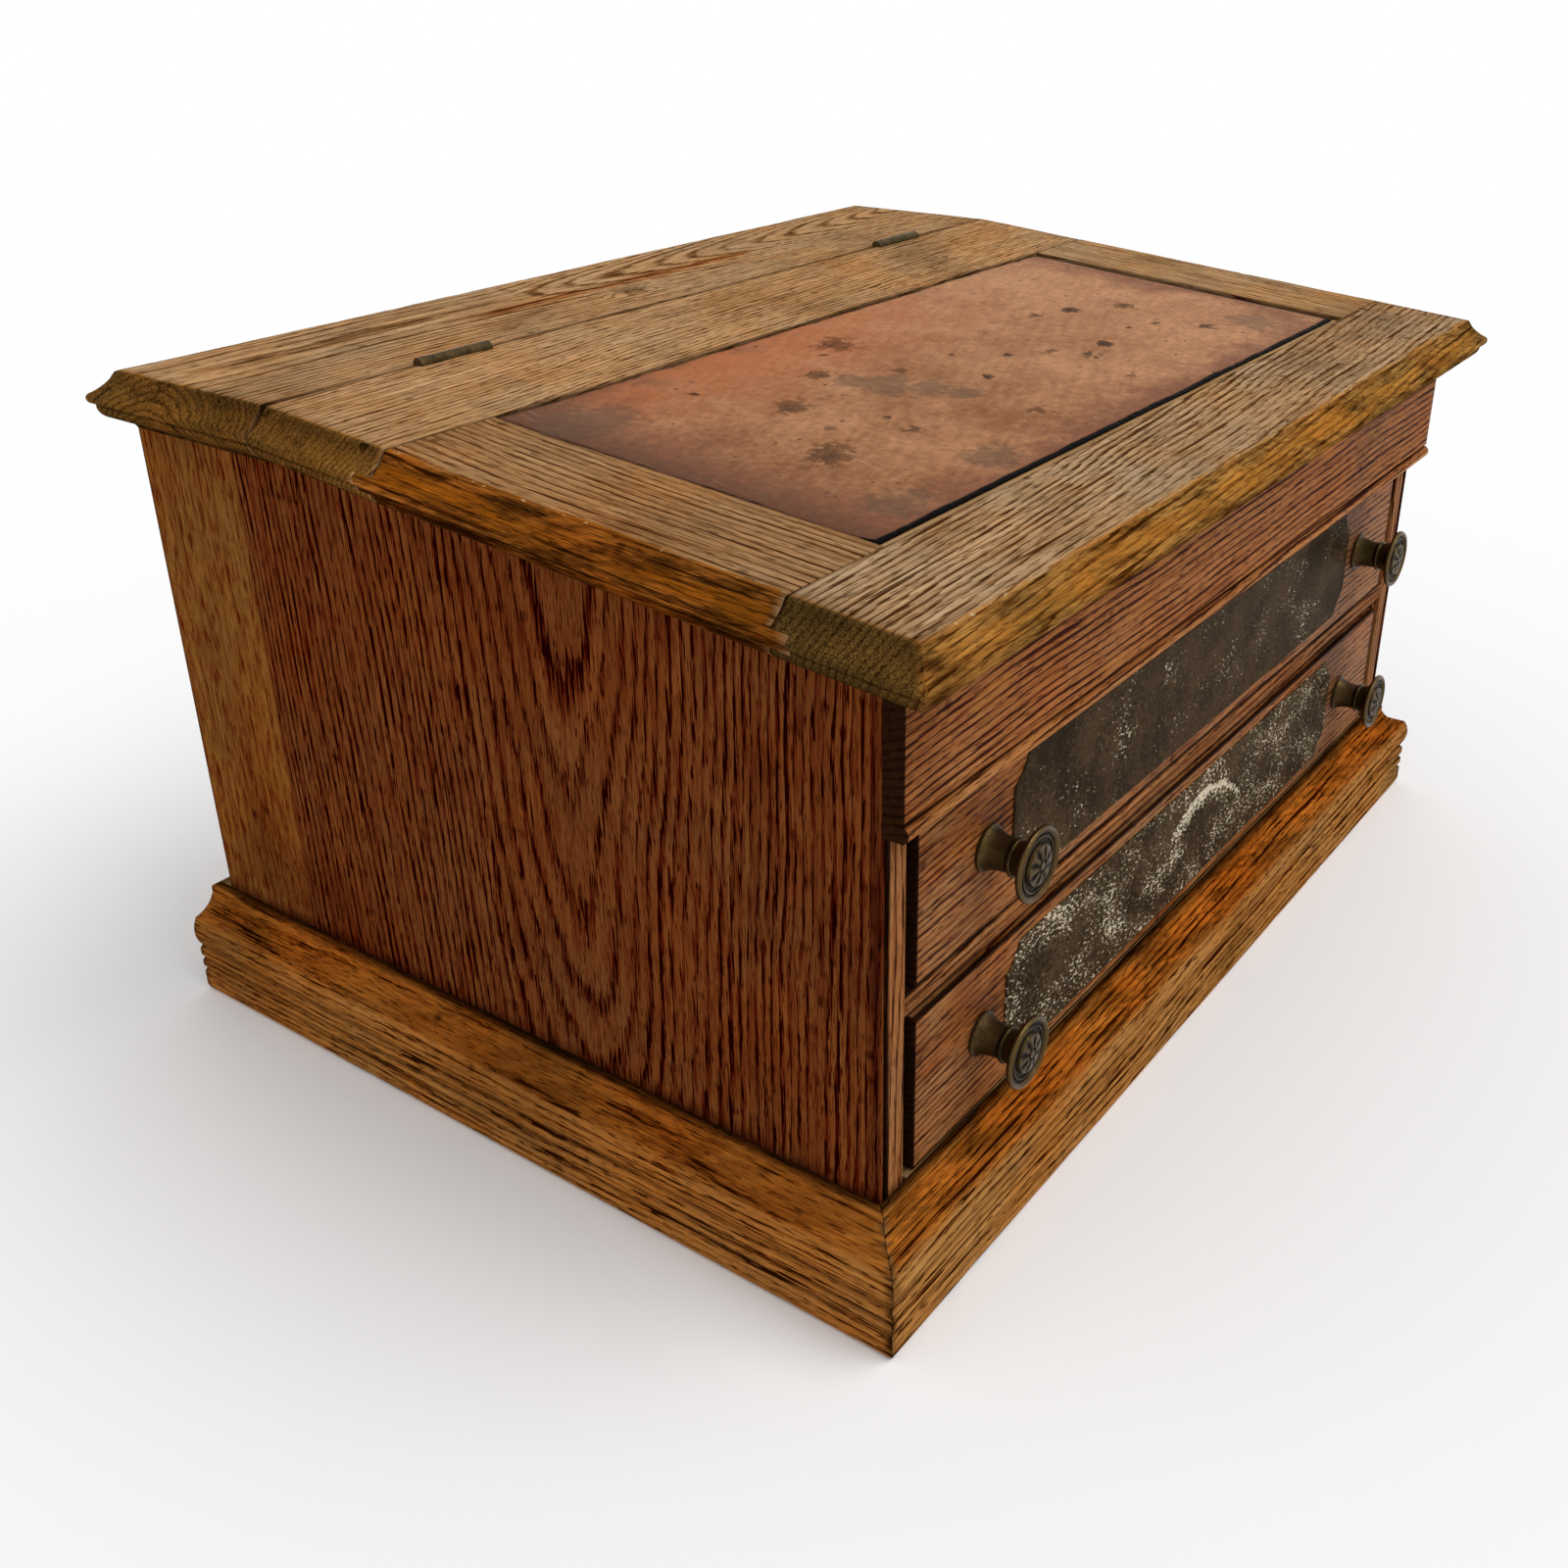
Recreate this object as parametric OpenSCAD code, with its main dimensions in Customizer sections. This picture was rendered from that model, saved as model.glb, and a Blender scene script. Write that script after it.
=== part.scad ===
// Slant-top spool cabinet in oak: a lift-lid writing desk over two shallow drawers.
// Millimetres. +Z is up, the drawers face -Y, and the origin is on the floor
// under the middle of the whole cabinet.

/* [Carcass] */
// Width over the two side panels
carcass_w = 585; // [500:1:700]
// Depth of the side panels from front edge to back edge
carcass_d = 434; // [380:1:500]
// Thickness of the side panels
side_t = 19; // [17:0.5:24]
// Thickness of the back panel
back_t = 8; // [6:0.5:12]
// Width of the rebates in the sides that take the back panel
back_rebate = 10; // [6:0.5:12]
// Thickness of the bottom board
bottom_t = 12; // [8:0.5:16]
// Thickness of the floor of the desk well
well_floor_t = 8; // [6:0.5:12]
// Depth of the grooves in the sides that hold the bottom and the well floor
housing = 5; // [3:0.5:8]

/* [Front corners] */
// Width of the thin lip that the side panel shows at the front
lip_t = 2; // [1.5:0.1:4]
// Width of the dark quirk between the lip and the stile
quirk_w = 2.6; // [1.5:0.1:4]
// Depth of that quirk
quirk_d = 6.5; // [3:0.5:9]
// Width of each front stile
stile_w = 15; // [12:0.5:20]
// Thickness of each front stile
stile_t = 13; // [10:0.5:18]
// Width of the step along the stile's inner edge
stile_step_w = 2.7; // [1.5:0.1:5]
// Depth of that step
stile_step_d = 3; // [1:0.1:5]

/* [Frieze and well] */
// Height of the frieze at its front face
frieze_h = 58; // [45:0.5:80]
// Thickness of the frieze in front of the side panels
frieze_t = 9.5; // [7:0.5:14]
// Radius of the bead along the frieze's lower edge
frieze_bead_r = 3.4; // [2:0.1:5]
// How far the bead stands in front of the frieze
frieze_bead_out = 2; // [1:0.1:3]
// Width of the fine groove above the bead
frieze_quirk = 1.2; // [0.8:0.1:2]

/* [Drawers] */
// Height of each drawer front
drawer_front_h = 77.5; // [66:0.5:100]
// Thickness of each drawer front
drawer_front_t = 19; // [16:0.5:24]
// Gap over each drawer front
drawer_gap = 2.5; // [1:0.1:4]
// Height of each drawer front over the floor of its bay
drawer_lift = 1; // [0.5:0.1:2]
// Gap between each end of a drawer front and the stile
drawer_side_gap = 4.9; // [2:0.1:8]
// Height of the drawer sides
drawer_side_h = 62; // [50:0.5:66]
// Thickness of the drawer sides and back
drawer_side_t = 10; // [8:0.5:14]
// Length of the lap where a side is let into the front
drawer_lap = 12; // [8:0.5:15]
// Thickness of the drawer bottom
drawer_bottom_t = 5; // [4:0.5:8]
// Height of the bottom's grooves over the sides' lower edge
drawer_groove_z = 6; // [5:0.5:10]
// Depth of those grooves
drawer_groove_d = 5; // [3:0.5:6]
// Number of low slats between the rows of spools
slat_count = 7; // [3:1:11]
// Thickness of a slat
slat_t = 4; // [3:0.5:6]
// Height of a slat
slat_h = 12; // [8:0.5:20]

/* [Drawer runners] */
// Height of the rail and runners between the drawers
divider_h = 13; // [10:0.5:18]
// Depth of the front rail between the drawers
divider_d = 45; // [30:1:70]
// Radius of the bead along the top of that rail
divider_bead_r = 2.2; // [1:0.1:3]
// Side of the square groove under the bead
divider_groove = 1.5; // [0.8:0.1:2]
// How far the rail's face slopes back below the groove
divider_slope = 2.2; // [1:0.1:2.8]
// Width of the runners under the upper drawer
runner_w = 38; // [25:1:60]
// Height of the guide strips beside the drawers
guide_h = 28; // [15:1:40]
// Thickness of the stop blocks behind the drawers
stop_t = 8; // [5:0.5:14]
// Width of a stop block
stop_w = 34; // [20:1:50]
// Height of a stop block
stop_h = 26; // [15:1:40]
// Place of the stop blocks out from the middle
stop_x = 150; // [80:1:190]

/* [Plates] */
// Width of the dark plate on each drawer
plate_w = 390; // [330:1:400]
// Height of the plate
plate_h = 64; // [50:0.5:65]
// Thickness of the plate
plate_t = 1; // [0.6:0.1:2]
// Length of the cut corners along the top edge
plate_cut_x = 11; // [6:0.5:16]
// Length of the cut corners along the end
plate_cut_z = 13; // [6:0.5:18]
// Depth of the hollow in each cut corner
plate_hollow = 1.6; // [0.5:0.1:3]

/* [Knobs] */
// Gap between an end of the plate and the foot of the knob beside it
knob_gap = 9.5; // [4:0.5:20]
// Diameter of the knob's head
knob_head_d = 33.5; // [28:0.5:38]
// Diameter of the knob's foot
knob_foot_d = 21; // [18:0.5:24]
// Diameter of the knob's waist
knob_waist_d = 15; // [13:0.5:17]
// Height of the collar where the stem meets the head
knob_collar_h = 14.2; // [12:0.1:16]
// Height of the head's underside at its rim
knob_rim_h = 22; // [20:0.1:24]
// Diameter of the bead round the rim
knob_bead_d = 3; // [2:0.1:4]
// Diameter of the bead round the collar
knob_collar_bead_d = 2.6; // [1.5:0.1:4]
// Height of the small upright edge of the foot
knob_foot_h = 1.2; // [0.6:0.1:2]
// Diameter of the raised middle of the face
knob_boss_d = 18.4; // [14:0.1:22]
// Diameter of the fine ring round the raised middle
knob_ring_d = 1.4; // [0.8:0.1:2]
// Height of the raised middle over the drawer front
knob_h = 26.2; // [24.5:0.1:28]
// Diameter of the screw that holds a knob
knob_screw_d = 4.6; // [3.5:0.1:5]
// Diameter of that screw's head
knob_screw_head_d = 10; // [8:0.5:12]
// Thickness of that screw's head
knob_screw_head_h = 2.5; // [1.5:0.1:3]
// Depth of the screw in the knob
knob_screw_reach = 10; // [7:0.5:12]

/* [Top and lid] */
// Thickness of the top
top_t = 28; // [25:0.5:34]
// Slope of the lid
lid_slope = 4.73; // [2:0.01:8]
// Depth of the fixed board from the hinge line to its back arris
fixed_board_d = 110; // [80:1:150]
// How far the top's arris stands out from the side panels
side_overhang = 7.3; // [3:0.1:12]
// How far the lid's arris stands out from the frieze
front_overhang = 11.5; // [6:0.1:16]
// How far the top's back arris lies inside the carcass
back_inset = 3; // [0:0.1:8]
// Width of the lid's back rail
back_rail_w = 78.5; // [60:0.5:100]
// Width of the lid's front rail up to its arris
front_rail_w = 57; // [45:0.5:80]
// Width of the lid's stiles up to their arris
lid_stile_w = 60.5; // [45:0.5:80]
// Width of the groove round the lid's panel
lid_groove_w = 8; // [6:0.5:10]
// Depth of that groove
lid_groove_d = 9; // [6:0.5:12]
// Depth of the groove's upper wall
lid_groove_z = 10; // [8:0.5:12]
// Gap at the joints of the frame
joint_gap = 0.3; // [0.1:0.1:0.6]
// Gap between the leather and the frame
leather_gap = 3; // [1:0.1:6]
// Thickness of the leather
leather_t = 1.5; // [1:0.1:2.5]
// How far the leather lies below the frame
leather_drop = 0.7; // [0.3:0.1:2]

/* [Moulded edge of the top] */
// Depth of the hollow between the arris and the nose
edge_hollow = 1.1; // [0.4:0.1:2]
// Radius of the nose
nose_r = 3; // [2:0.1:4]
// Reach of the nose's centre from the arris
nose_x = 8.4; // [6:0.1:10]
// Depth of the nose's centre under the top
nose_z = 12.9; // [11:0.1:14]
// Radius of the round under the nose
ovolo_r = 6.2; // [5:0.1:7]
// Reach of the round's centre from the arris
ovolo_x = 2.4; // [1:0.1:3.5]
// Depth of the round's centre under the top
ovolo_z = 17; // [16:0.1:18.5]
// Radius of the cove under the round
cove_r = 5.8; // [4:0.1:6]
// Depth of the cove's centre below the underside
cove_drop = 1.5; // [0.5:0.1:2.5]

/* [Base] */
// Height of the base
base_h = 60; // [50:0.5:75]
// How far the base stands out from the carcass
base_out = 20; // [16:0.5:26]
// How far the base stands out behind the carcass
base_back_out = 10; // [6:0.5:16]
// Width of the ledge round the carcass
ledge_w = 6; // [4:0.1:8]
// Height of the small upright under the ledge
ledge_drop = 4; // [2:0.1:6]
// Depth of the hollow in the shoulder
shoulder_hollow = 2; // [1:0.1:3]
// Height of the top of the nose
base_nose_top = 46.2; // [42:0.1:50]
// Height of the underside of the nose
base_nose_low = 29; // [26:0.1:32]
// Radius of the nose
base_nose_r = 16; // [12:0.5:24]
// How far the nose stands out past the bands below
base_nose_out = 1.4; // [0.5:0.1:3]
// Heights of the three grooves below the nose
base_grooves = [28.4, 20.4, 13.2]; // [8:0.1:40]
// Side of the square cutter that makes a groove
base_groove_w = 2.6; // [1.5:0.1:3.5]
// Chamfer along the foot of the base
foot_chamfer = 2; // [1:0.1:4]
// Thickness of the glue blocks inside the base
block_t = 24; // [15:1:30]
// Gap at the mitres of the base
mitre_gap = 0.3; // [0.1:0.1:0.8]

/* [Hinges] */
// Distance between the middles of the two hinges
hinge_spacing = 381; // [300:1:430]
// Length of a hinge
hinge_l = 45; // [35:1:60]
// Diameter of the knuckles
knuckle_d = 6.4; // [5:0.1:8]
// Diameter of the pin
pin_d = 2.4; // [2:0.1:3]
// Height of a leaf under the pin
leaf_h = 19; // [16:0.5:22]
// Thickness of a leaf
leaf_t = 1.6; // [1:0.1:2]
// Gap between the lid and the fixed board
hinge_gap = 0.8; // [0.5:0.1:1.5]
// Diameter of the hinge screws
hinge_screw_d = 3; // [2.5:0.1:3.5]
// Length of the hinge screws
hinge_screw_l = 16; // [10:0.5:20]
// Diameter of the hinge screws' heads
hinge_screw_head_d = 5.6; // [5:0.1:6]
// Places of the screws along a hinge, as shares of half its length
hinge_screw_places = [-0.66, 0, 0.66]; // [-0.8:0.01:0.8]

/* [Clearances] */
// Gap under the lid where it rests
lid_gap = 0.3; // [0.2:0.05:0.6]
// Gap under and behind the drawers
run_gap = 0.3; // [0.2:0.05:0.6]
// Gap between a drawer and its guide strips
guide_gap = 0.4; // [0.3:0.05:0.8]
// Gap round boards that sit in grooves
fit_gap = 0.1; // [0.05:0.05:0.2]
// Radial clearance of the pin in the lid's knuckle
pin_clear = 0.05; // [0.02:0.01:0.1]
// Radial clearance of screws in their holes
screw_clear = 0.05; // [0.02:0.01:0.1]
// Gap between a hinge's parts and the wood
hinge_clear = 0.3; // [0.2:0.05:0.6]
// Room past the tip of a knob's screw
screw_tip_gap = 0.5; // [0.2:0.1:1]

/* [Hidden] */
$fn = 64;
// A length that reaches past everything
far = 2000;
// How far a cutter runs past the face that it cuts
cut_over = 1;
half_w = carcass_w / 2;
inner_x = half_w - side_t;
stile_x = half_w - lip_t - quirk_w;
stile_in = stile_x - stile_w;
// Reach of the sloping lid's nose past its arris
lid_nose = max(nose_x * cos(lid_slope) - nose_z * sin(lid_slope) + nose_r,
               ovolo_x * cos(lid_slope) - ovolo_z * sin(lid_slope) + ovolo_r);
// Reach of the lid in front of the carcass, and of the base or the top behind it
front_reach = frieze_t + front_overhang + lid_nose;
back_reach = max(base_back_out, nose_x + nose_r - back_inset, ovolo_x + ovolo_r - back_inset);
y_front = (front_reach - carcass_d - back_reach) / 2;
y_back = y_front + carcass_d;
y_inside = y_back - back_t;
y_base_back = y_back + base_back_out;
y_frieze = y_front - frieze_t;
bay_h = drawer_lift + drawer_front_h + drawer_gap;
z_lower_bay = base_h;
z_divider = z_lower_bay + bay_h;
z_upper_bay = z_divider + divider_h;
z_frieze = z_upper_bay + bay_h;
y_back_arris = y_back - back_inset;
y_hinge = y_back_arris - fixed_board_d;
y_front_arris = y_frieze - front_overhang;
z_top = z_frieze + frieze_h + top_t / cos(lid_slope) + (y_hinge - y_frieze) * tan(lid_slope);
lid_l = (y_hinge - y_front_arris) / cos(lid_slope);
arris_x = half_w + side_overhang;
drawer_x = stile_in - drawer_side_gap;
drawer_in_x = drawer_x - drawer_side_t;
y_front_back = y_front + drawer_front_t;
y_box_back = y_inside - stop_t - run_gap;
y_box_in = y_box_back - drawer_side_t;
knob_spacing = plate_w + 2 * knob_gap + knob_foot_d;
z_knob = drawer_lift + drawer_front_h / 2;
knuckle_r = knuckle_d / 2;
oak = "#8a5527";
pale_oak = "#a0703a";
drawer_oak = "#96603a";
pine = "#b98d58";
dark_leather = "#7d3a1c";
brass = "#6f5a33";
black_plate = "#2c2a24";
steel = "#77746c";

// Height of the lid's underside at a depth y
function lid_under(y) = z_top - top_t / cos(lid_slope) - (y_hinge - y) * tan(lid_slope);

// Centre of the arc from p to q that bows by sag to the left of the line
function arc_centre(p, q, sag) =
    let (chord = norm(q - p), r = arc_radius(p, q, sag), along = (q - p) / chord)
    (p + q) / 2 + [-along[1], along[0]] * (r - sag);

// Radius of that arc
function arc_radius(p, q, sag) = pow(norm(q - p), 2) / (8 * sag) + sag / 2;

// A box between two corners
module block(low, high) {
    translate(low) cube(high - low);
}

// A drawing in (y, z) carried along X between two places
module along_x(x0, x1) {
    translate([x0, 0, 0]) rotate([90, 0, 90]) linear_extrude(x1 - x0) children();
}

// A drawing in (x, z) carried along Y between two places
module along_y(y0, y1) {
    translate([0, y1, 0]) rotate([90, 0, 0]) linear_extrude(y1 - y0) children();
}

// Left-hand work as drawn, or its mirror image on the right
module hand(right) {
    if (right) mirror([1, 0, 0]) children();
    else children();
}

// The lid's own frame: hinge line at y = 0, lid towards -Y, upper face at z = 0
module on_lid() {
    translate([0, y_hinge, z_top]) rotate([lid_slope, 0, 0]) children();
}

// The room below the fixed board and the closed lid
module under_top() {
    along_x(-far, far) polygon([
        [-far, -far], [far, -far], [far, z_top - top_t], [y_hinge, z_top - top_t],
        [y_hinge, lid_under(y_hinge) - lid_gap], [-far, lid_under(-far) - lid_gap]
    ]);
}

// Where a line from the arris touches the upper side of the nose
function nose_touch() =
    let (away = norm([nose_x, nose_z]), turn = atan2(nose_z, nose_x) - asin(nose_r / away))
    sqrt(pow(away, 2) - pow(nose_r, 2)) * [cos(turn), -sin(turn)];

// Section of the top's moulded edge, with its arris at the origin and the nose towards +X
module edge_section(depth) {
    arris = [0, 0];
    touch = nose_touch();
    difference() {
        union() {
            translate([-depth, -top_t]) square([depth + ovolo_x, top_t]);
            translate([-depth, -nose_z]) square([depth + nose_x, nose_z]);
            translate([nose_x, -nose_z]) circle(nose_r);
            translate([ovolo_x, -ovolo_z]) circle(ovolo_r);
        }
        translate(arc_centre(arris, touch, edge_hollow)) circle(arc_radius(arris, touch, edge_hollow));
        translate([ovolo_x, -top_t - cove_drop]) circle(cove_r);
    }
}

// Section across the whole top, moulded at both ends
module top_section() {
    for (turn = [0, 1])
        mirror([turn, 0]) translate([arris_x, 0]) edge_section(arris_x + ovolo_x);
}

// Two hinge places along the hinge line, left or right
module at_hinge(right) {
    translate([(right ? 1 : -1) * hinge_spacing / 2, y_hinge, z_top]) children();
}

// A round bar along X with its middle at the origin
module bar_x(d, l) {
    rotate([0, 90, 0]) cylinder(d = d, h = l, center = true);
}

// What a hinge needs cut from the wood on one side of the hinge line
module hinge_cut() {
    leaf_x = hinge_l / 2 + hinge_clear;
    bar_x(knuckle_d + 2 * hinge_clear, 2 * leaf_x);
    block([-leaf_x, -hinge_gap, -leaf_h - hinge_clear], [leaf_x, hinge_gap / 2 + leaf_t, hinge_gap]);
    leaf_screws(screw_clear);
}

// Depth of the hinge screws under the pin
function screw_drop() = (leaf_h + knuckle_r) / 2;

// One leaf with its knuckles: ends lists the stretches of the hinge that it holds
module hinge_leaf(ends) {
    difference() {
        union() {
            block([-hinge_l / 2, hinge_gap / 2, -leaf_h],
                  [hinge_l / 2, hinge_gap / 2 + leaf_t, -knuckle_r - hinge_clear]);
            for (e = ends) {
                block([e[0], hinge_gap / 2, -knuckle_r - 2 * hinge_clear],
                      [e[1], hinge_gap / 2 + leaf_t, 0]);
                translate([(e[0] + e[1]) / 2, 0, 0]) bar_x(knuckle_d, e[1] - e[0]);
            }
        }
        bar_x(pin_d + 2 * pin_clear, 2 * hinge_l);
        leaf_screws(screw_clear);
    }
}

// A countersunk screw along +Z with its head's face at the origin
module screw_solid(clear) {
    cylinder(d = hinge_screw_d + 2 * clear, h = hinge_screw_l + clear);
    cylinder(d1 = hinge_screw_head_d + 2 * clear, d2 = hinge_screw_d + 2 * clear,
             h = (hinge_screw_head_d - hinge_screw_d) / 2);
}

// The screws of one leaf, along +Y, or the room that they need
module leaf_screws(clear) {
    for (x = hinge_screw_places)
        translate([x * hinge_l / 2, hinge_gap / 2, -screw_drop()]) rotate([-90, 0, 0])
            screw_solid(clear);
}

// The stretches of a hinge held by the fixed leaf and by the lid's leaf
function fixed_knuckles() = [
    [-hinge_l / 2, -hinge_l / 6 - hinge_clear / 2], [hinge_l / 6 + hinge_clear / 2, hinge_l / 2]
];
function lid_knuckles() = [[-hinge_l / 6 + hinge_clear / 2, hinge_l / 6 - hinge_clear / 2]];

// Carcass

// Left side panel: plan with front quirk and back rebate, top cut to the slope
module side_panel() {
    plan = [
        [-half_w, y_front], [-half_w + lip_t, y_front], [-half_w + lip_t, y_front + quirk_d],
        [-stile_x, y_front + quirk_d], [-stile_x, y_front + stile_t],
        [-inner_x, y_front + stile_t], [-inner_x, y_inside],
        [-inner_x - back_rebate, y_inside], [-inner_x - back_rebate, y_back], [-half_w, y_back]
    ];
    difference() {
        intersection() {
            linear_extrude(z_top) polygon(plan);
            under_top();
        }
        block([-inner_x - housing - fit_gap, y_front + stile_t - cut_over, base_h - bottom_t - fit_gap],
              [0, y_inside + cut_over, base_h + fit_gap]);
        block([-inner_x - housing - fit_gap, y_front + stile_t - cut_over, z_frieze - fit_gap],
              [0, y_inside + cut_over, z_frieze + well_floor_t + fit_gap]);
    }
}

module left_side_panel() { color(oak) side_panel(); }

module right_side_panel() { color(oak) hand(true) side_panel(); }

module back_panel() {
    x = inner_x + back_rebate - fit_gap;
    color(pine) block([-x, y_inside, 0], [x, y_back, z_top - top_t]);
}

module bottom_board() {
    x = inner_x + housing;
    color(pine) {
        block([-x, y_front + stile_t, base_h - bottom_t], [x, y_inside, base_h]);
        block([-stile_in + fit_gap, y_front, base_h - bottom_t],
              [stile_in - fit_gap, y_front + stile_t, base_h]);
    }
}

module well_floor() {
    x = inner_x + housing;
    color(pine) block([-x, y_front + stile_t, z_frieze], [x, y_inside, z_frieze + well_floor_t]);
}

// Left front stile with its stepped inner edge
module front_stile() {
    plan = [
        [-stile_x, y_front], [-stile_in - stile_step_w, y_front],
        [-stile_in - stile_step_w, y_front + stile_step_d], [-stile_in, y_front + stile_step_d],
        [-stile_in, y_front + stile_t], [-stile_x, y_front + stile_t]
    ];
    intersection() {
        linear_extrude(z_top) polygon(plan);
        under_top();
    }
}

module left_front_stile() { color(drawer_oak) front_stile(); }

module right_front_stile() { color(drawer_oak) hand(true) front_stile(); }

module well_front_rail() {
    x = stile_in - fit_gap;
    color(pine) intersection() {
        block([-x, y_front, z_frieze], [x, y_front + stile_t, z_top]);
        under_top();
    }
}

// Applied frieze with a bead along its lower edge
module front_frieze() {
    bead_y = y_frieze - frieze_bead_out + frieze_bead_r;
    bead_z = z_frieze + frieze_bead_r;
    quirk_z = z_frieze + 2 * frieze_bead_r;
    color(oak) intersection() {
        along_x(-half_w, half_w) difference() {
            union() {
                translate([y_frieze, z_frieze]) square([frieze_t, z_top - z_frieze]);
                translate([bead_y, bead_z]) circle(frieze_bead_r);
            }
            translate([y_frieze - frieze_bead_out, quirk_z])
                square([frieze_bead_out + frieze_quirk, frieze_quirk]);
        }
        under_top();
    }
}

// Moulded rail between the drawers: a bead over a sloping face, with ears on the stiles' steps
module drawer_divider_rail() {
    ear_x = stile_in + stile_step_w - fit_gap;
    z_groove = z_upper_bay - 2 * divider_bead_r - divider_groove;
    color(drawer_oak) difference() {
        union() {
            block([-stile_in + fit_gap, y_front, z_divider],
                  [stile_in - fit_gap, y_front + stile_t, z_upper_bay]);
            block([-inner_x, y_front + stile_t, z_divider],
                  [inner_x, y_front + divider_d, z_upper_bay]);
            block([-ear_x, y_front, z_divider],
                  [ear_x, y_front + stile_step_d - fit_gap, z_upper_bay]);
        }
        along_x(-far, far) {
            polygon([
                [y_front, z_divider], [y_front + divider_slope, z_divider],
                [y_front, z_groove]
            ]);
            translate([y_front, z_groove]) square(divider_groove);
            difference() {
                translate([y_front, z_upper_bay - divider_bead_r]) square(divider_bead_r);
                translate([y_front + divider_bead_r, z_upper_bay - divider_bead_r])
                    circle(divider_bead_r);
            }
        }
    }
}

// Left runner under the upper drawer
module drawer_runner() {
    block([-inner_x, y_front + divider_d, z_divider], [-inner_x + runner_w, y_inside, z_upper_bay]);
}

module left_drawer_runner() { color(pine) drawer_runner(); }

module right_drawer_runner() { color(pine) hand(true) drawer_runner(); }

module drawer_rear_rail() {
    x = inner_x - runner_w;
    color(pine) block([-x, y_inside - divider_d, z_divider], [x, y_inside, z_upper_bay]);
}

// Guide strips that fill the room between the drawers and the sides
module drawer_guides() {
    color(pine) for (right = [false, true], z = [z_lower_bay, z_upper_bay])
        hand(right) block([-inner_x, y_front + stile_t, z],
                          [-drawer_x - guide_gap, y_inside, z + guide_h]);
}

// Blocks that stop the drawers flush with the stiles
module drawer_stops() {
    color(pine) for (x = [-stop_x, stop_x], z = [z_lower_bay, z_upper_bay])
        block([x - stop_w / 2, y_inside - stop_t, z], [x + stop_w / 2, y_inside, z + stop_h]);
}

// Base

// Section of the base moulding, out from the carcass and up from the floor
module base_section() {
    shoulder = base_out + base_nose_out - base_nose_r
        + sqrt(pow(base_nose_r, 2) - pow((base_nose_top - base_nose_low) / 2, 2));
    p = [ledge_w, base_h - ledge_drop];
    q = [shoulder, base_nose_top];
    difference() {
        union() {
            square([ledge_w, base_h]);
            difference() {
                square([shoulder, base_h - ledge_drop]);
                translate(arc_centre(p, q, shoulder_hollow))
                    circle(arc_radius(p, q, shoulder_hollow));
            }
            intersection() {
                translate([base_out + base_nose_out - base_nose_r, (base_nose_top + base_nose_low) / 2])
                    circle(base_nose_r);
                translate([0, base_nose_low]) square([2 * base_out, base_nose_top - base_nose_low]);
            }
            square([base_out, base_nose_low]);
        }
        for (z = base_grooves)
            translate([base_out, z]) rotate(45) square(base_groove_w, center = true);
        polygon([[base_out - foot_chamfer, 0], [base_out + cut_over, -cut_over],
                 [base_out + cut_over, foot_chamfer + cut_over], [base_out, foot_chamfer]]);
    }
}

// Plan of the front moulding: full length outside, mitred at both ends
module base_front_moulding() {
    reach = 2 * base_out;
    x = half_w - mitre_gap;
    color(pale_oak) intersection() {
        along_x(-far, far) translate([y_front, 0]) mirror([1, 0]) base_section();
        linear_extrude(base_h) polygon([
            [-x, y_front], [-x - reach, y_front - reach], [x + reach, y_front - reach], [x, y_front]
        ]);
    }
}

// Left moulding: mitred in front, cut square behind
module base_side_moulding() {
    reach = 2 * base_out;
    y = y_front + mitre_gap;
    intersection() {
        along_y(-far, far) translate([-half_w, 0]) mirror([1, 0]) base_section();
        linear_extrude(base_h) polygon([
            [-half_w, y], [-half_w, y_base_back], [-half_w - reach, y_base_back],
            [-half_w - reach, y - reach]
        ]);
    }
}

module base_left_moulding() { color(pale_oak) base_side_moulding(); }

module base_right_moulding() { color(pale_oak) hand(true) base_side_moulding(); }

module base_back_rail() {
    color(pine) block([-half_w, y_back, 0], [half_w, y_base_back, base_h]);
}

// Three-cornered glue blocks under the bottom board, one in each corner
module base_glue_blocks() {
    z = base_h - bottom_t;
    color(pine) for (right = [false, true]) hand(right) {
        linear_extrude(z) polygon([
            [-inner_x, y_inside], [-inner_x, y_inside - block_t], [-inner_x + block_t, y_inside]
        ]);
        linear_extrude(z) polygon([
            [-inner_x, y_front + stile_t], [-inner_x + block_t, y_front + stile_t],
            [-inner_x, y_front + stile_t + block_t]
        ]);
    }
}

// Fixed part of the top

module fixed_top_board() {
    color(oak) difference() {
        intersection() {
            translate([0, 0, z_top]) along_y(y_hinge + hinge_gap / 2, far) top_section();
            translate([0, y_back_arris, z_top]) along_x(-far, far) edge_section(2 * fixed_board_d);
        }
        for (right = [false, true]) at_hinge(right) hinge_cut();
    }
}

module left_hinge_fixed_leaf() { color(brass) at_hinge(false) hinge_leaf(fixed_knuckles()); }

module right_hinge_fixed_leaf() { color(brass) at_hinge(true) hinge_leaf(fixed_knuckles()); }

module left_hinge_pin() { color(brass) at_hinge(false) bar_x(pin_d, hinge_l); }

module right_hinge_pin() { color(brass) at_hinge(true) bar_x(pin_d, hinge_l); }

module hinge_fixed_screws() {
    color(steel) for (right = [false, true]) at_hinge(right) leaf_screws(0);
}

// Lid

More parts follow.
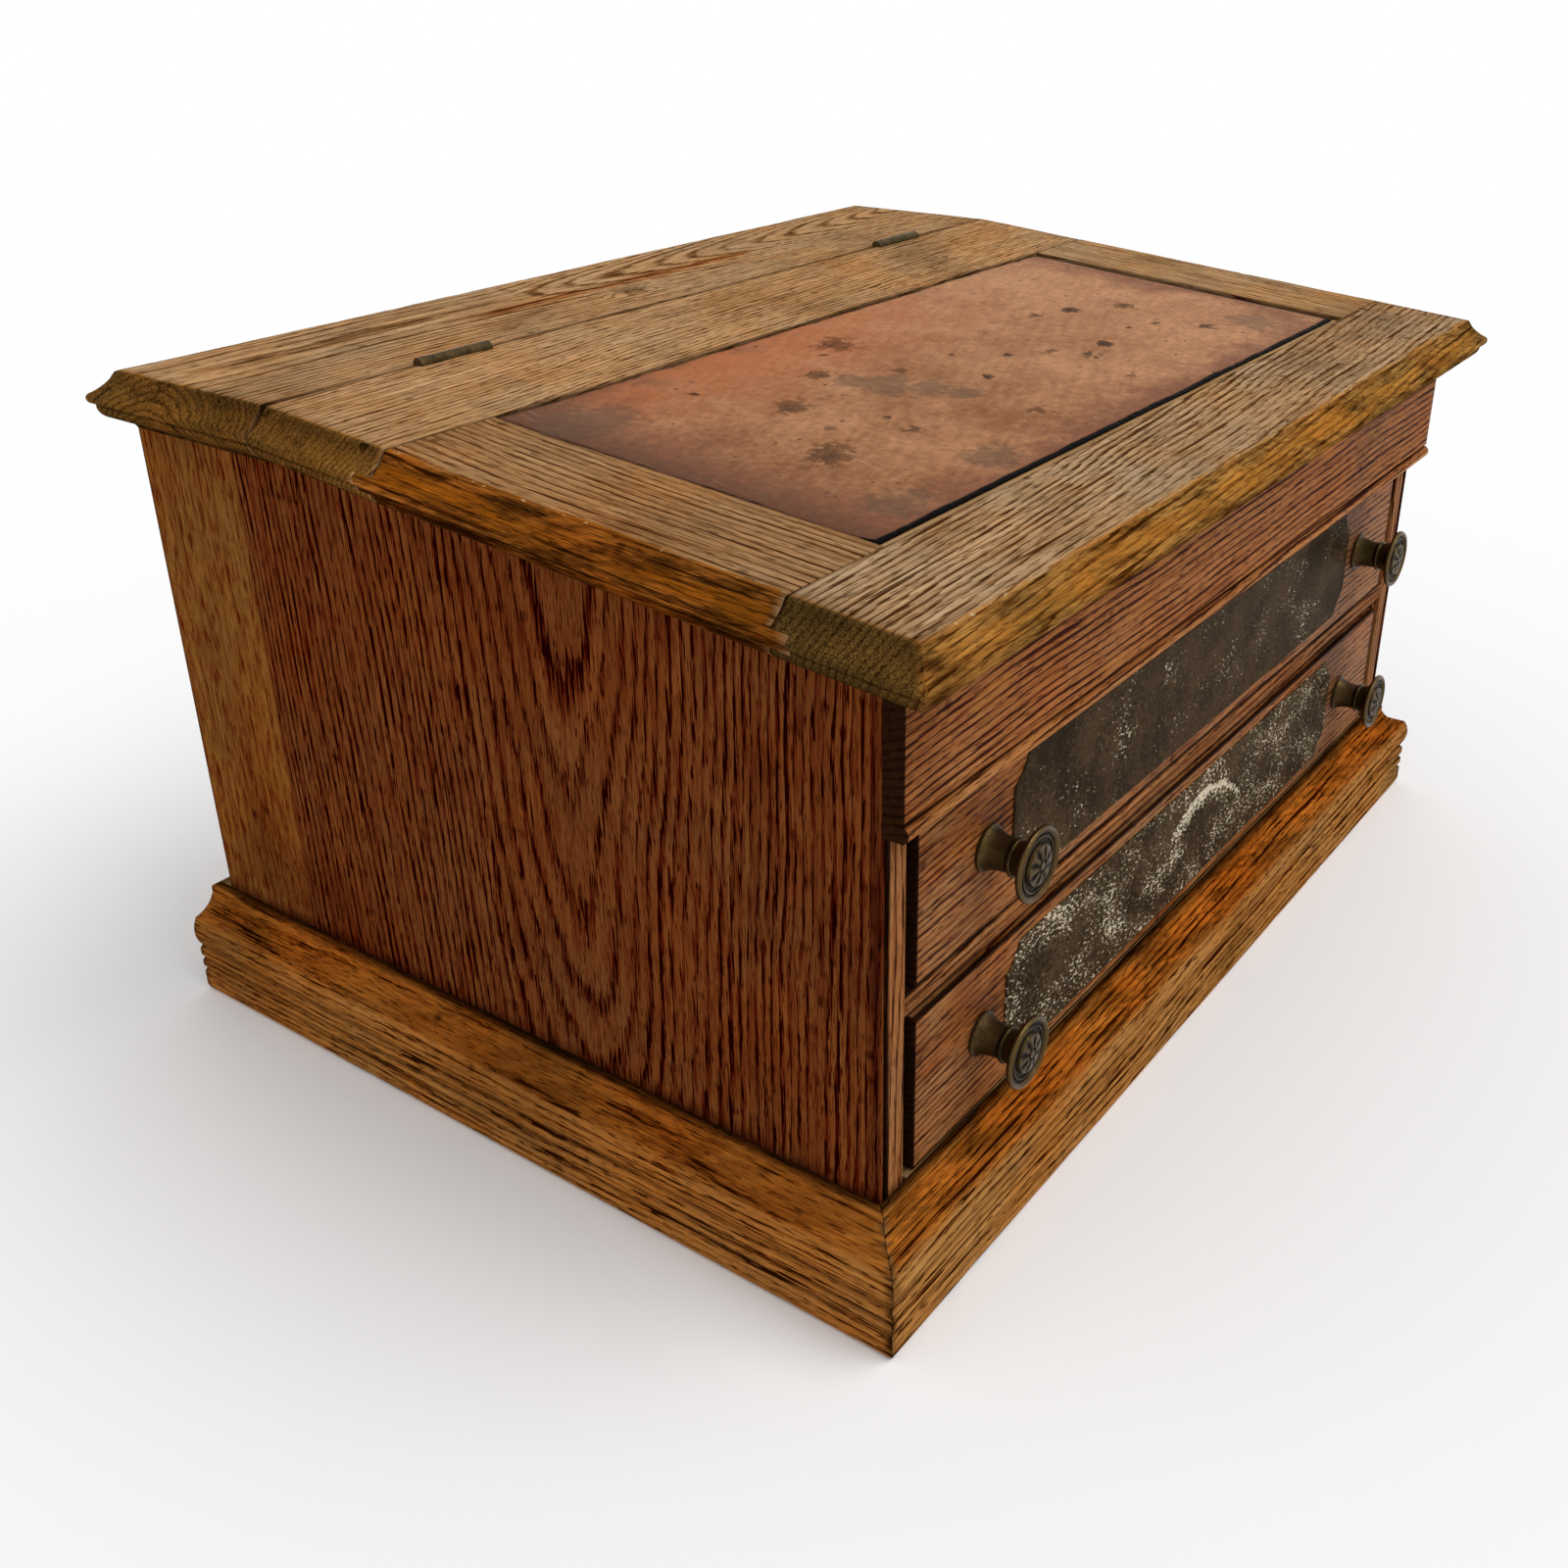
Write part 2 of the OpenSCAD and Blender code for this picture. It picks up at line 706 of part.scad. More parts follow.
// Whole lid as one moulded slab, cut upright along the hinge line
module lid_slab() {
    difference() {
        intersection() {
            on_lid() intersection() {
                along_y(-far, far) top_section();
                along_x(-far, far) translate([-lid_l, 0]) mirror([1, 0]) edge_section(2 * lid_l);
            }
            block([-far, -far, 0], [far, y_hinge - hinge_gap / 2, far]);
        }
        for (right = [false, true]) at_hinge(right) mirror([0, 1, 0]) hinge_cut();
    }
}

// Groove for the panel along the inner edges of the frame, with its gap
module lid_groove(grow) {
    on_lid() block(
        [-arris_x + lid_stile_w - lid_groove_d - grow, -lid_l + front_rail_w - lid_groove_d - grow,
         -lid_groove_z - lid_groove_w - grow],
        [arris_x - lid_stile_w + lid_groove_d + grow, -back_rail_w + lid_groove_d + grow,
         -lid_groove_z + grow]);
}

// Grooves in the rails for the stiles' tongues, out to the ends of the lid
module tongue_room(y0, y1) {
    on_lid() block([-far, y0, -lid_groove_z - lid_groove_w - fit_gap], [far, y1, -lid_groove_z + fit_gap]);
}

module lid_back_rail() {
    color(oak) difference() {
        intersection() {
            lid_slab();
            on_lid() block([-far, -back_rail_w, -far], [far, far, far]);
        }
        tongue_room(-back_rail_w - cut_over, -back_rail_w + lid_groove_d + fit_gap);
    }
}

module lid_front_rail() {
    color(oak) difference() {
        intersection() {
            lid_slab();
            on_lid() block([-far, -far, -far], [far, -lid_l + front_rail_w, far]);
        }
        tongue_room(-lid_l + front_rail_w - lid_groove_d - fit_gap, -lid_l + front_rail_w + cut_over);
    }
}

// Left stile between the rails, with a tongue at each end
module lid_stile() {
    x = -arris_x + lid_stile_w;
    y0 = -lid_l + front_rail_w;
    y1 = -back_rail_w;
    difference() {
        intersection() {
            lid_slab();
            on_lid() {
                block([-far, y0 + joint_gap, -far], [x, y1 - joint_gap, far]);
                block([-far, y0 - lid_groove_d, -lid_groove_z - lid_groove_w],
                      [x, y1 + lid_groove_d, -lid_groove_z]);
            }
        }
        lid_groove(fit_gap);
    }
}

module lid_left_stile() { color(pale_oak) lid_stile(); }

module lid_right_stile() { color(pale_oak) hand(true) lid_stile(); }

// Panel held in the groove, with a raised field under the leather
module lid_panel() {
    x = arris_x - lid_stile_w - joint_gap;
    color(pine) {
        lid_groove(0);
        on_lid() block([-x, -lid_l + front_rail_w + joint_gap, -lid_groove_z - lid_groove_w],
                       [x, -back_rail_w - joint_gap, -leather_drop - leather_t]);
    }
}

module lid_leather() {
    x = arris_x - lid_stile_w - leather_gap;
    color(dark_leather) on_lid() block(
        [-x, -lid_l + front_rail_w + leather_gap, -leather_drop - leather_t],
        [x, -back_rail_w - leather_gap, -leather_drop]);
}

// The lid's leaves and screws, turned to face the fixed ones
module left_hinge_lid_leaf() {
    color(brass) at_hinge(false) mirror([0, 1, 0]) hinge_leaf(lid_knuckles());
}

module right_hinge_lid_leaf() {
    color(brass) at_hinge(true) mirror([0, 1, 0]) hinge_leaf(lid_knuckles());
}

module hinge_lid_screws() {
    color(steel) for (right = [false, true]) at_hinge(right) mirror([0, 1, 0]) leaf_screws(0);
}

// Drawers, each drawn over the floor of its bay at z = 0

// Room for the drawer bottom in the front and the sides
module bottom_groove(grow) {
    x = drawer_in_x + drawer_groove_d + grow;
    z = run_gap + drawer_groove_z;
    block([-x, y_front_back - drawer_groove_d - grow, z - grow],
          [x, y_box_back + grow, z + drawer_bottom_t + grow]);
}

module drawer_front() {
    difference() {
        block([-drawer_x, y_front, drawer_lift], [drawer_x, y_front_back, drawer_lift + drawer_front_h]);
        for (right = [false, true]) hand(right) {
            block([-drawer_x - cut_over, y_front_back - drawer_lap - fit_gap, -cut_over],
                  [-drawer_in_x + fit_gap, y_front_back + cut_over, run_gap + drawer_side_h + fit_gap]);
            translate([-knob_spacing / 2, y_front - cut_over, z_knob]) rotate([-90, 0, 0])
                cylinder(d = knob_screw_d + 4 * screw_clear, h = drawer_front_t + 2 * cut_over);
        }
        bottom_groove(fit_gap);
    }
}

// Left side, lapped into the front
module drawer_side() {
    difference() {
        block([-drawer_x, y_front_back - drawer_lap, run_gap],
              [-drawer_in_x, y_box_back, run_gap + drawer_side_h]);
        bottom_groove(fit_gap);
    }
}

module drawer_back() {
    block([-drawer_in_x, y_box_in, run_gap + drawer_groove_z + drawer_bottom_t + fit_gap],
          [drawer_in_x, y_box_back, run_gap + drawer_side_h]);
}

// Low slats along the drawer that keep the rows of spools apart
module drawer_slats() {
    z = run_gap + drawer_groove_z + drawer_bottom_t;
    pitch = 2 * drawer_in_x / (slat_count + 1);
    for (k = [1:slat_count])
        translate([-drawer_in_x + k * pitch, 0, 0])
            block([-slat_t / 2, y_front_back, z], [slat_t / 2, y_box_in, z + slat_h]);
}

// Dark plate with hollow cut corners
module drawer_plate() {
    p = [plate_w / 2 - plate_cut_x, plate_h / 2];
    q = [plate_w / 2, plate_h / 2 - plate_cut_z];
    translate([0, 0, z_knob]) along_y(y_front - plate_t, y_front) difference() {
        square([plate_w, plate_h], center = true);
        for (a = [0, 1], b = [0, 1]) mirror([a, 0]) mirror([0, b]) {
            polygon([p, q, [plate_w, plate_h]]);
            translate(arc_centre(p, q, plate_hollow)) circle(arc_radius(p, q, plate_hollow));
        }
    }
}

// Section of a knob: radius out from its axis, height out from the drawer front
module knob_section() {
    foot_r = knob_foot_d / 2;
    waist_r = knob_waist_d / 2;
    head_r = knob_head_d / 2;
    bead_r = knob_bead_d / 2;
    boss_r = knob_boss_d / 2;
    collar_r = knob_collar_bead_d / 2;
    waist_h = knob_collar_h - collar_r;
    sweep_r = (pow(foot_r - waist_r, 2) + pow(waist_h - knob_foot_h, 2)) / (2 * (foot_r - waist_r));
    cup_r = knob_rim_h - knob_collar_h;
    rim_x = head_r - bead_r;
    face_h = knob_rim_h + bead_r;
    difference() {
        square([foot_r, knob_collar_h]);
        translate([waist_r + sweep_r, waist_h]) circle(sweep_r);
    }
    translate([waist_r, knob_collar_h]) circle(collar_r);
    square([waist_r, face_h]);
    difference() {
        translate([0, knob_collar_h]) square([rim_x, face_h - knob_collar_h]);
        translate([rim_x, knob_collar_h]) circle(cup_r);
    }
    translate([rim_x, knob_rim_h + bead_r]) circle(bead_r);
    intersection() {
        square([boss_r, knob_h]);
        translate([0, knob_h - 4 * boss_r]) circle(4 * boss_r);
    }
    translate([(boss_r + rim_x) / 2, face_h]) circle(knob_ring_d / 2);
}

module drawer_knob() {
    translate([-knob_spacing / 2, y_front, z_knob]) rotate([90, 0, 0]) difference() {
        rotate_extrude() intersection() {
            knob_section();
            square([knob_head_d, 2 * knob_h]);
        }
        translate([0, 0, -cut_over])
            cylinder(d = knob_screw_d + 2 * screw_clear, h = knob_screw_reach + screw_tip_gap + cut_over);
    }
}

// Screws from inside the drawer into the knobs
module knob_screws() {
    for (right = [false, true]) hand(right)
        translate([-knob_spacing / 2, y_front_back, z_knob]) rotate([90, 0, 0]) {
            cylinder(d = knob_screw_d, h = drawer_front_t + knob_screw_reach);
            translate([0, 0, -knob_screw_head_h])
                cylinder(d = knob_screw_head_d, h = knob_screw_head_h);
        }
}

module upper() { translate([0, 0, z_upper_bay]) children(); }

module lower() { translate([0, 0, z_lower_bay]) children(); }

module upper_drawer_front() { color(drawer_oak) upper() drawer_front(); }
module upper_drawer_left_side() { color(pine) upper() drawer_side(); }
module upper_drawer_right_side() { color(pine) upper() hand(true) drawer_side(); }
module upper_drawer_back() { color(pine) upper() drawer_back(); }
module upper_drawer_bottom() { color(pine) upper() bottom_groove(0); }
module upper_drawer_slats() { color(pine) upper() drawer_slats(); }
module upper_drawer_plate() { color(black_plate) upper() drawer_plate(); }
module upper_left_knob() { color(brass) upper() drawer_knob(); }
module upper_right_knob() { color(brass) upper() hand(true) drawer_knob(); }
module upper_knob_screws() { color(steel) upper() knob_screws(); }

module lower_drawer_front() { color(drawer_oak) lower() drawer_front(); }
module lower_drawer_left_side() { color(pine) lower() drawer_side(); }
module lower_drawer_right_side() { color(pine) lower() hand(true) drawer_side(); }
module lower_drawer_back() { color(pine) lower() drawer_back(); }
module lower_drawer_bottom() { color(pine) lower() bottom_groove(0); }
module lower_drawer_slats() { color(pine) lower() drawer_slats(); }
module lower_drawer_plate() { color(black_plate) lower() drawer_plate(); }
module lower_left_knob() { color(brass) lower() drawer_knob(); }
module lower_right_knob() { color(brass) lower() hand(true) drawer_knob(); }
module lower_knob_screws() { color(steel) lower() knob_screws(); }

left_side_panel();
right_side_panel();
back_panel();
bottom_board();
well_floor();
left_front_stile();
right_front_stile();
well_front_rail();
front_frieze();
drawer_divider_rail();
left_drawer_runner();
right_drawer_runner();
drawer_rear_rail();
drawer_guides();
drawer_stops();
base_front_moulding();
base_left_moulding();
base_right_moulding();
base_back_rail();
base_glue_blocks();
fixed_top_board();
left_hinge_fixed_leaf();
right_hinge_fixed_leaf();
left_hinge_pin();
right_hinge_pin();
hinge_fixed_screws();
lid_back_rail();
lid_front_rail();
lid_left_stile();
lid_right_stile();
lid_panel();
lid_leather();
left_hinge_lid_leaf();
right_hinge_lid_leaf();
hinge_lid_screws();
upper_drawer_front();
upper_drawer_left_side();
upper_drawer_right_side();
upper_drawer_back();
upper_drawer_bottom();
upper_drawer_slats();
upper_drawer_plate();
upper_left_knob();
upper_right_knob();
upper_knob_screws();
lower_drawer_front();
lower_drawer_left_side();
lower_drawer_right_side();
lower_drawer_back();
lower_drawer_bottom();
lower_drawer_slats();
lower_drawer_plate();
lower_left_knob();
lower_right_knob();
lower_knob_screws();
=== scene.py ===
"""Looks of an oak spool cabinet with a slant writing top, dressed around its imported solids."""

import logging
import math
from dataclasses import dataclass, field
from enum import Enum
from typing import Callable, Mapping, Sequence

import bmesh
import bpy
import numpy as np
from mathutils import Matrix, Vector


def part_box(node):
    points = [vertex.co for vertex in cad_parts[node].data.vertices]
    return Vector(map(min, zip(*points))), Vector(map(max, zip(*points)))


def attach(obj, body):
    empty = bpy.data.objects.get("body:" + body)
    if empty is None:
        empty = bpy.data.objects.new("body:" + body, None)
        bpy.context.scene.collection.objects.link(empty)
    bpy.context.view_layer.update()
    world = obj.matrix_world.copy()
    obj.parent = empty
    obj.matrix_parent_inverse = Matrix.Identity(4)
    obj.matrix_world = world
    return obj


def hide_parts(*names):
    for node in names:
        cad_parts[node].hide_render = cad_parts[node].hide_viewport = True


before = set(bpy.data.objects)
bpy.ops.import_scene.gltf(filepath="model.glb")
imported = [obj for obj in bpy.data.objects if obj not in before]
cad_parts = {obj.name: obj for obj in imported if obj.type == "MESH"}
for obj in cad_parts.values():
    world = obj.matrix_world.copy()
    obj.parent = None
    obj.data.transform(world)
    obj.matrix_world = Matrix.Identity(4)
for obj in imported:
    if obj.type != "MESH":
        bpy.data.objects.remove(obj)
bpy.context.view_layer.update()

MM = 0.001
log = logging.getLogger("spool_cabinet")

Array = np.ndarray
Material = bpy.types.Material
Pair = tuple[float, float]
Triple = tuple[float, float, float]
Colour = tuple[float, float, float, float]
Reach = Callable[[Array, Array], Array]


def tint(code: str) -> Colour:
    """Turn a six-figure colour code into linear light.

    Args:
        code: Red, green and blue as pairs of hexadecimal figures.

    Returns:
        Linear red, green and blue, and full cover.
    """
    parts = [int(code[k:k + 2], 16) / 255 for k in (0, 2, 4)]
    linear = [p / 12.92 if p <= 0.04045 else ((p + 0.055) / 1.055) ** 2.4 for p in parts]
    return (linear[0], linear[1], linear[2], 1.0)


def lattice(points: Array, cell: float, seed: int) -> Array:
    """Smooth noise from -1 to 1 at each point.

    Random heights stand at the corners of a cubic lattice. A point takes the mean of its eight
    corners, weighted along each axis by 3t^2 - 2t^3 of its place t in the cell.

    Args:
        points: Array whose last axis is x, y, z.
        cell: Side of a cell, in the points' units.
        seed: Picks one noise out of many.

    Returns:
        One height for each point.
    """
    place = points / cell
    base = np.floor(place)
    blend = place - base
    blend = blend * blend * (3 - 2 * blend)
    total = np.zeros(points.shape[:-1])
    for corner in np.ndindex(2, 2, 2):
        ids = (base + np.array(corner)).astype(np.int64).astype(np.uint64)
        key = ids @ np.array([73856093, 19349663, 83492791], np.uint64) + np.uint64(seed * 40503)
        for shift, factor in ((15, 2246822519), (13, 3266489917)):
            key = (key & np.uint64(0xFFFFFFFF)) * np.uint64(factor)
            key = key ^ (key >> np.uint64(shift))
        height = (key & np.uint64(0xFFFFFF)).astype(float) / 2 ** 23 - 1
        total += height * np.where(np.array(corner, bool), blend, 1 - blend).prod(-1)
    return total


def hump(value: Array, place: float, spread: float) -> Array:
    """A bell curve of height 1 about a place."""
    return np.exp(-((value - place) / spread) ** 2)


class Shell:
    """Points, faces and marks of one piece, gathered from grids before they become a mesh."""

    def __init__(self) -> None:
        """Start with nothing."""
        self.points: list[Array] = []
        self.faces: list[tuple[int, ...]] = []
        self.marks: dict[str, list[Array]] = {}
        self.count = 0

    def add(self, points: Array, marks: Mapping[str, Array]) -> int:
        """Store points with their marks.

        Args:
            points: Array of x, y, z rows.
            marks: One value for each point, by mark name. A mark left out is 0.

        Returns:
            Index of the first new point.
        """
        first = self.count
        for name in set(self.marks) | set(marks):
            stored = self.marks.setdefault(name, [np.zeros(first)] if first else [])
            stored.append(np.asarray(marks.get(name, np.zeros(len(points))), float).ravel())
        self.points.append(points)
        self.count += len(points)
        return first

    def grid(self, points: Array, wrap: bool = False, **marks: Array) -> None:
        """Add a sheet of four-sided faces.

        Args:
            points: Array of rows by columns by x, y, z.
            wrap: Whether the last column joins the first.
            marks: Values by rows and columns.
        """
        rows, columns = points.shape[:2]
        first = self.add(points.reshape(-1, 3), marks)
        index = first + np.arange(rows * columns).reshape(rows, columns)
        after = np.roll(index, -1, axis=1)
        if not wrap:
            index, after = index[:, :-1], after[:, :-1]
        quads = np.stack([index[:-1], after[:-1], after[1:], index[1:]], axis=-1)
        self.faces.extend(map(tuple, quads.reshape(-1, 4).tolist()))

    def cap(self, points: Array, **marks: Array) -> None:
        """Close an end with one flat face through the points, in order."""
        first = self.add(points, marks)
        self.faces.append(tuple(range(first, first + len(points))))

    def build(self, name: str, material: Material, sharp: float = 35.0) -> bpy.types.Object:
        """Weld the grids into one mesh object at the origin.

        Args:
            name: Name of the piece.
            material: Its finish.
            sharp: Angle in degrees past which an edge stays sharp.

        Returns:
            The new object.
        """
        mesh = bpy.data.meshes.new(name)
        mesh.from_pydata(np.concatenate(self.points).tolist(), [], self.faces)
        for mark, parts in self.marks.items():
            layer = mesh.attributes.new(mark, "FLOAT", "POINT")
            layer.data.foreach_set("value", np.concatenate(parts).astype(np.float32))
        work = bmesh.new()
        work.from_mesh(mesh)
        bmesh.ops.remove_doubles(work, verts=work.verts, dist=0.004 * MM)
        bmesh.ops.dissolve_degenerate(work, edges=work.edges, dist=0.002 * MM)
        bmesh.ops.recalc_face_normals(work, faces=work.faces)
        work.to_mesh(mesh)
        work.free()
        mesh.shade_smooth()
        mesh.set_sharp_from_angle(angle=math.radians(sharp))
        mesh.materials.append(material)
        piece = bpy.data.objects.new(name, mesh)
        bpy.context.scene.collection.objects.link(piece)
        return piece


def settle(piece: bpy.types.Object, body: str, node: str) -> None:
    """Ride a piece on its body in the place of a CAD node.

    Args:
        piece: The finished piece.
        body: Body that carries it.
        node: CAD node that it stands for.
    """
    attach(piece, body)
    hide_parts(node)
    log.info("%s: %d faces on %s", piece.name, len(piece.data.polygons), body)


class Tone:
    """A shader socket that takes part in Python arithmetic by adding Math nodes."""

    def __init__(self, bench: "Bench", socket: bpy.types.NodeSocket) -> None:
        """Wrap a socket of the bench's tree."""
        self.bench = bench
        self.socket = socket

    def _math(self, operation: str, *values: object) -> "Tone":
        """Add one Math node over the values."""
        return self.bench.node("ShaderNodeMath", {"operation": operation}, dict(enumerate(values)))

    def __add__(self, other: object) -> "Tone":
        """Sum."""
        return self._math("ADD", self, other)

    def __sub__(self, other: object) -> "Tone":
        """Difference."""
        return self._math("SUBTRACT", self, other)

    def __rsub__(self, other: object) -> "Tone":
        """Difference from a number."""
        return self._math("SUBTRACT", other, self)

    def __mul__(self, other: object) -> "Tone":
        """Product."""
        return self._math("MULTIPLY", self, other)

    def __truediv__(self, other: object) -> "Tone":
        """Quotient."""
        return self._math("DIVIDE", self, other)

    __radd__ = __add__
    __rmul__ = __mul__

    def root(self) -> "Tone":
        """Square root."""
        return self._math("SQRT", self)

    def power(self, exponent: float) -> "Tone":
        """Raised to a power."""
        return self._math("POWER", self, exponent)

    def floor(self) -> "Tone":
        """Whole part."""
        return self._math("FLOOR", self)

    def size(self) -> "Tone":
        """Value without its sign."""
        return self._math("ABSOLUTE", self)

    def most(self, other: object) -> "Tone":
        """Greater of two."""
        return self._math("MAXIMUM", self, other)

    def least(self, other: object) -> "Tone":
        """Lesser of two."""
        return self._math("MINIMUM", self, other)

    def over(self, limit: float) -> "Tone":
        """One where the value is over the limit, else zero."""
        return self._math("GREATER_THAN", self, limit)

    def rise(self, low: object, high: object) -> "Tone":
        """Smooth step from 0 at low to 1 at high, or falling where low is the greater."""
        settings = {"interpolation_type": "SMOOTHSTEP"}
        return self.bench.node("ShaderNodeMapRange", settings, {0: self, 1: low, 2: high})


class Bench:
    """One material's node tree and the ways to add to it."""

    def __init__(self, name: str) -> None:
        """Open a new material with its shader and output.

        Args:
            name: Name of the material.
        """
        self.material = bpy.data.materials.new(name)
        self.material.use_nodes = True
        self.tree = self.material.node_tree
        self.shader = self.tree.nodes["Principled BSDF"]

    def node(self, kind: str, settings: Mapping[str, object] | None = None,
             inputs: Mapping[str | int, object] | None = None, output: str | int = 0) -> Tone:
        """Add one node.

        Args:
            kind: Type of the node.
            settings: Properties to set first.
            inputs: Numbers, colours or sockets by the input's name or place.
            output: Name or place of the output wanted.

        Returns:
            That output.
        """
        made = self.tree.nodes.new(kind)
        for key, value in (settings or {}).items():
            setattr(made, key, value)
        for key, value in (inputs or {}).items():
            self.feed(made.inputs[key], value)
        return Tone(self, made.outputs[output])

    def feed(self, socket: bpy.types.NodeSocket, value: object) -> None:
        """Link a tone to a socket, or set a plain value on it.

        Args:
            socket: Input of a node.
            value: A tone, a number or a colour.
        """
        if isinstance(value, Tone):
            self.tree.links.new(value.socket, socket)
        else:
            socket.default_value = value

    def place(self, centre: Sequence[float] = (0, 0, 0), slope: float = 0.0) -> Tone:
        """Object coordinates in millimetres about a centre.

        Args:
            centre: Place that becomes the origin.
            slope: Angle about X that is turned back.

        Returns:
            The place as a vector.
        """
        spot = self.node("ShaderNodeTexCoord", output="Object")
        settings = {"vector_type": "TEXTURE"}
        inputs = {"Vector": spot, "Location": centre, "Rotation": (slope, 0, 0), "Scale": (MM, MM, MM)}
        return self.node("ShaderNodeMapping", settings, inputs)

    def split(self, vector: Tone) -> tuple[Tone, Tone, Tone]:
        """The three parts of a vector."""
        made = self.node("ShaderNodeSeparateXYZ", None, {0: vector}).socket.node
        return tuple(Tone(self, part) for part in made.outputs)

    def vector(self, x: object, y: object, z: object) -> Tone:
        """A vector from three parts."""
        return self.node("ShaderNodeCombineXYZ", None, {0: x, 1: y, 2: z})

    def stretch(self, vector: Tone, factors: Sequence[float]) -> Tone:
        """A vector with each part times its own factor."""
        return self.node("ShaderNodeVectorMath", {"operation": "MULTIPLY"}, {0: vector, 1: factors})

    def noise(self, vector: Tone, scale: float = 1.0, detail: float = 2.0, rough: float = 0.5) -> Tone:
        """Smooth noise from about -1 to 1."""
        inputs = {"Vector": vector, "Scale": scale, "Detail": detail, "Roughness": rough}
        return self.node("ShaderNodeTexNoise", None, inputs) * 4.0 - 2.0

    def fibres(self, grain: Sequence[Tone], run: float, cross: float, detail: float, rough: float) -> Tone:
        """Noise drawn out along the grain.

        Args:
            grain: Places along, across and into the board.
            run: Scale along the grain.
            cross: Scale across it and into the board.
            detail: Octaves of the noise.
            rough: Weight of each octave beside the one before.

        Returns:
            Noise from about -1 to 1.
        """
        along, across, deep = grain
        return self.noise(self.vector(along * run, across * cross, deep * cross), 1.0, detail, rough)

    def cells(self, vector: Tone, feature: str = "F1") -> Tone:
        """Distance within a cellular pattern."""
        inputs = {"Vector": vector, "Scale": 1.0}
        return self.node("ShaderNodeTexVoronoi", {"feature": feature}, inputs, "Distance")

    def chance(self, value: Tone) -> Tone:
        """A random number from 0 to 1 for each value."""
        return self.node("ShaderNodeTexWhiteNoise", {"noise_dimensions": "1D"}, {"W": value})

    def mark(self, name: str) -> Tone:
        """A value stored at the mesh's points, or 0 where the mesh has none."""
        return self.node("ShaderNodeAttribute", {"attribute_name": name}, None, "Fac")

    def mix(self, share: object, first: object, second: object, way: str = "MIX") -> Tone:
        """Colour between two by share, or another way of blending them."""
        settings = {"data_type": "RGBA", "blend_type": way}
        return self.node("ShaderNodeMix", settings, {0: share, 6: first, 7: second}, 2)

    def brighten(self, colour: Tone, factor: Tone) -> Tone:
        """Colour times a factor."""
        return self.node("ShaderNodeVectorMath", {"operation": "SCALE"}, {0: colour, "Scale": factor})

    def deepen(self, colour: Tone, powers: Sequence[float], lifts: Sequence[float]) -> Tone:
        """Colour with each part raised to its own power, then times its own lift."""
        parts = zip(self.split(colour), powers, lifts)
        return self.vector(*(part.most(0.0).power(power) * lift for part, power, lift in parts))

    def bump(self, height: Tone, distance: float, strength: float) -> None:
        """Dent the shading by a height."""
        inputs = {"Strength": strength, "Distance": distance, "Height": height}
        self.feed(self.shader.inputs["Normal"], self.node("ShaderNodeBump", None, inputs))

    def finish(self, **sockets: object) -> Material:
        """Set or link the shader's sockets.

        Args:
            sockets: Values by the socket's name, with _ for spaces.

        Returns:
            The finished material.
        """
        for name, value in sockets.items():
            self.feed(self.shader.inputs[name.replace("_", " ")], value)
        return self.material


class Grain(Enum):
    """Axes along the grain, across the face and into the board."""

    LENGTHWISE = (0, 1, 2)
    FORE_AND_AFT = (1, 0, 2)
    UPRIGHT_SIDE = (2, 1, 0)
    UPRIGHT_FRONT = (2, 0, 1)
    LENGTHWISE_FRONT = (0, 2, 1)
    FORE_AND_AFT_SIDE = (1, 2, 0)


@dataclass(frozen=True)
class Plank:
    """One board of a piece.

    start is where the plank begins across the piece, heart the place of the tree's heart across and
    into it, lean and drift the heart's slant across and into it along the grain, cast the board's
    own colour as a share of the finish's, fine its share of the ring width, calm how far its rings
    fade and straight_to the place along the grain before which the heart doesn't drift. Lengths in mm.
    """

    start: float = -1000.0
    heart: Pair = (20.0, -70.0)
    lean: float = 0.0
    drift: float = 0.03
    cast: Triple = (1.0, 1.0, 1.0)
    fine: float = 1.0
    calm: float = 0.0
    straight_to: float = -1000.0


@dataclass(frozen=True)
class DirtShadeLine:
    """Dirt and painted shade along a line: axis of the piece's own frame, place on it, reach and strength,
    in mm.

    skin is how far into the board the dirt and painted shade go, or none where they go right through.
    """

    axis: int
    place: float
    reach: float
    strength: float
    skin: float | None = None


@dataclass(frozen=True)
class Streak:
    """A run of another colour along the grain: ends, place across, half width and soft ends, in mm."""

    begin: float
    end: float
    across: float
    width: float
    colour: Colour
    strength: float = 1.0
    soft: float = 30.0


@dataclass(frozen=True)
class Knot:
    """Where a branch left the log: place along and across, and radius, in mm."""

    along: float
    across: float
    radius: float


class Fibre(Enum):
    """Noises drawn out along the grain: scales along and across it per mm, octaves and their weight."""

    JAG = (0.024, 0.8, 1.0, 0.5)
    THREAD = (0.02, 1.6, 3.0, 0.65)
    VEIN = (0.012, 0.35, 2.0, 0.5)
    PRICK = (0.13, 1.7, 0.5, 0.5)
    SMUDGE = (0.05, 0.3, 3.0, 0.6)
    FUZZ = (0.1, 0.7, 3.0, 0.65)
    RUB = (0.012, 0.035, 5.0, 0.65)
    FLAME = (0.04, 0.05, 4.0, 0.65)
    SCUFF = (0.018, 0.11, 5.0, 0.7)
    CRACK = (0.016, 0.5, 3.0, 0.6)


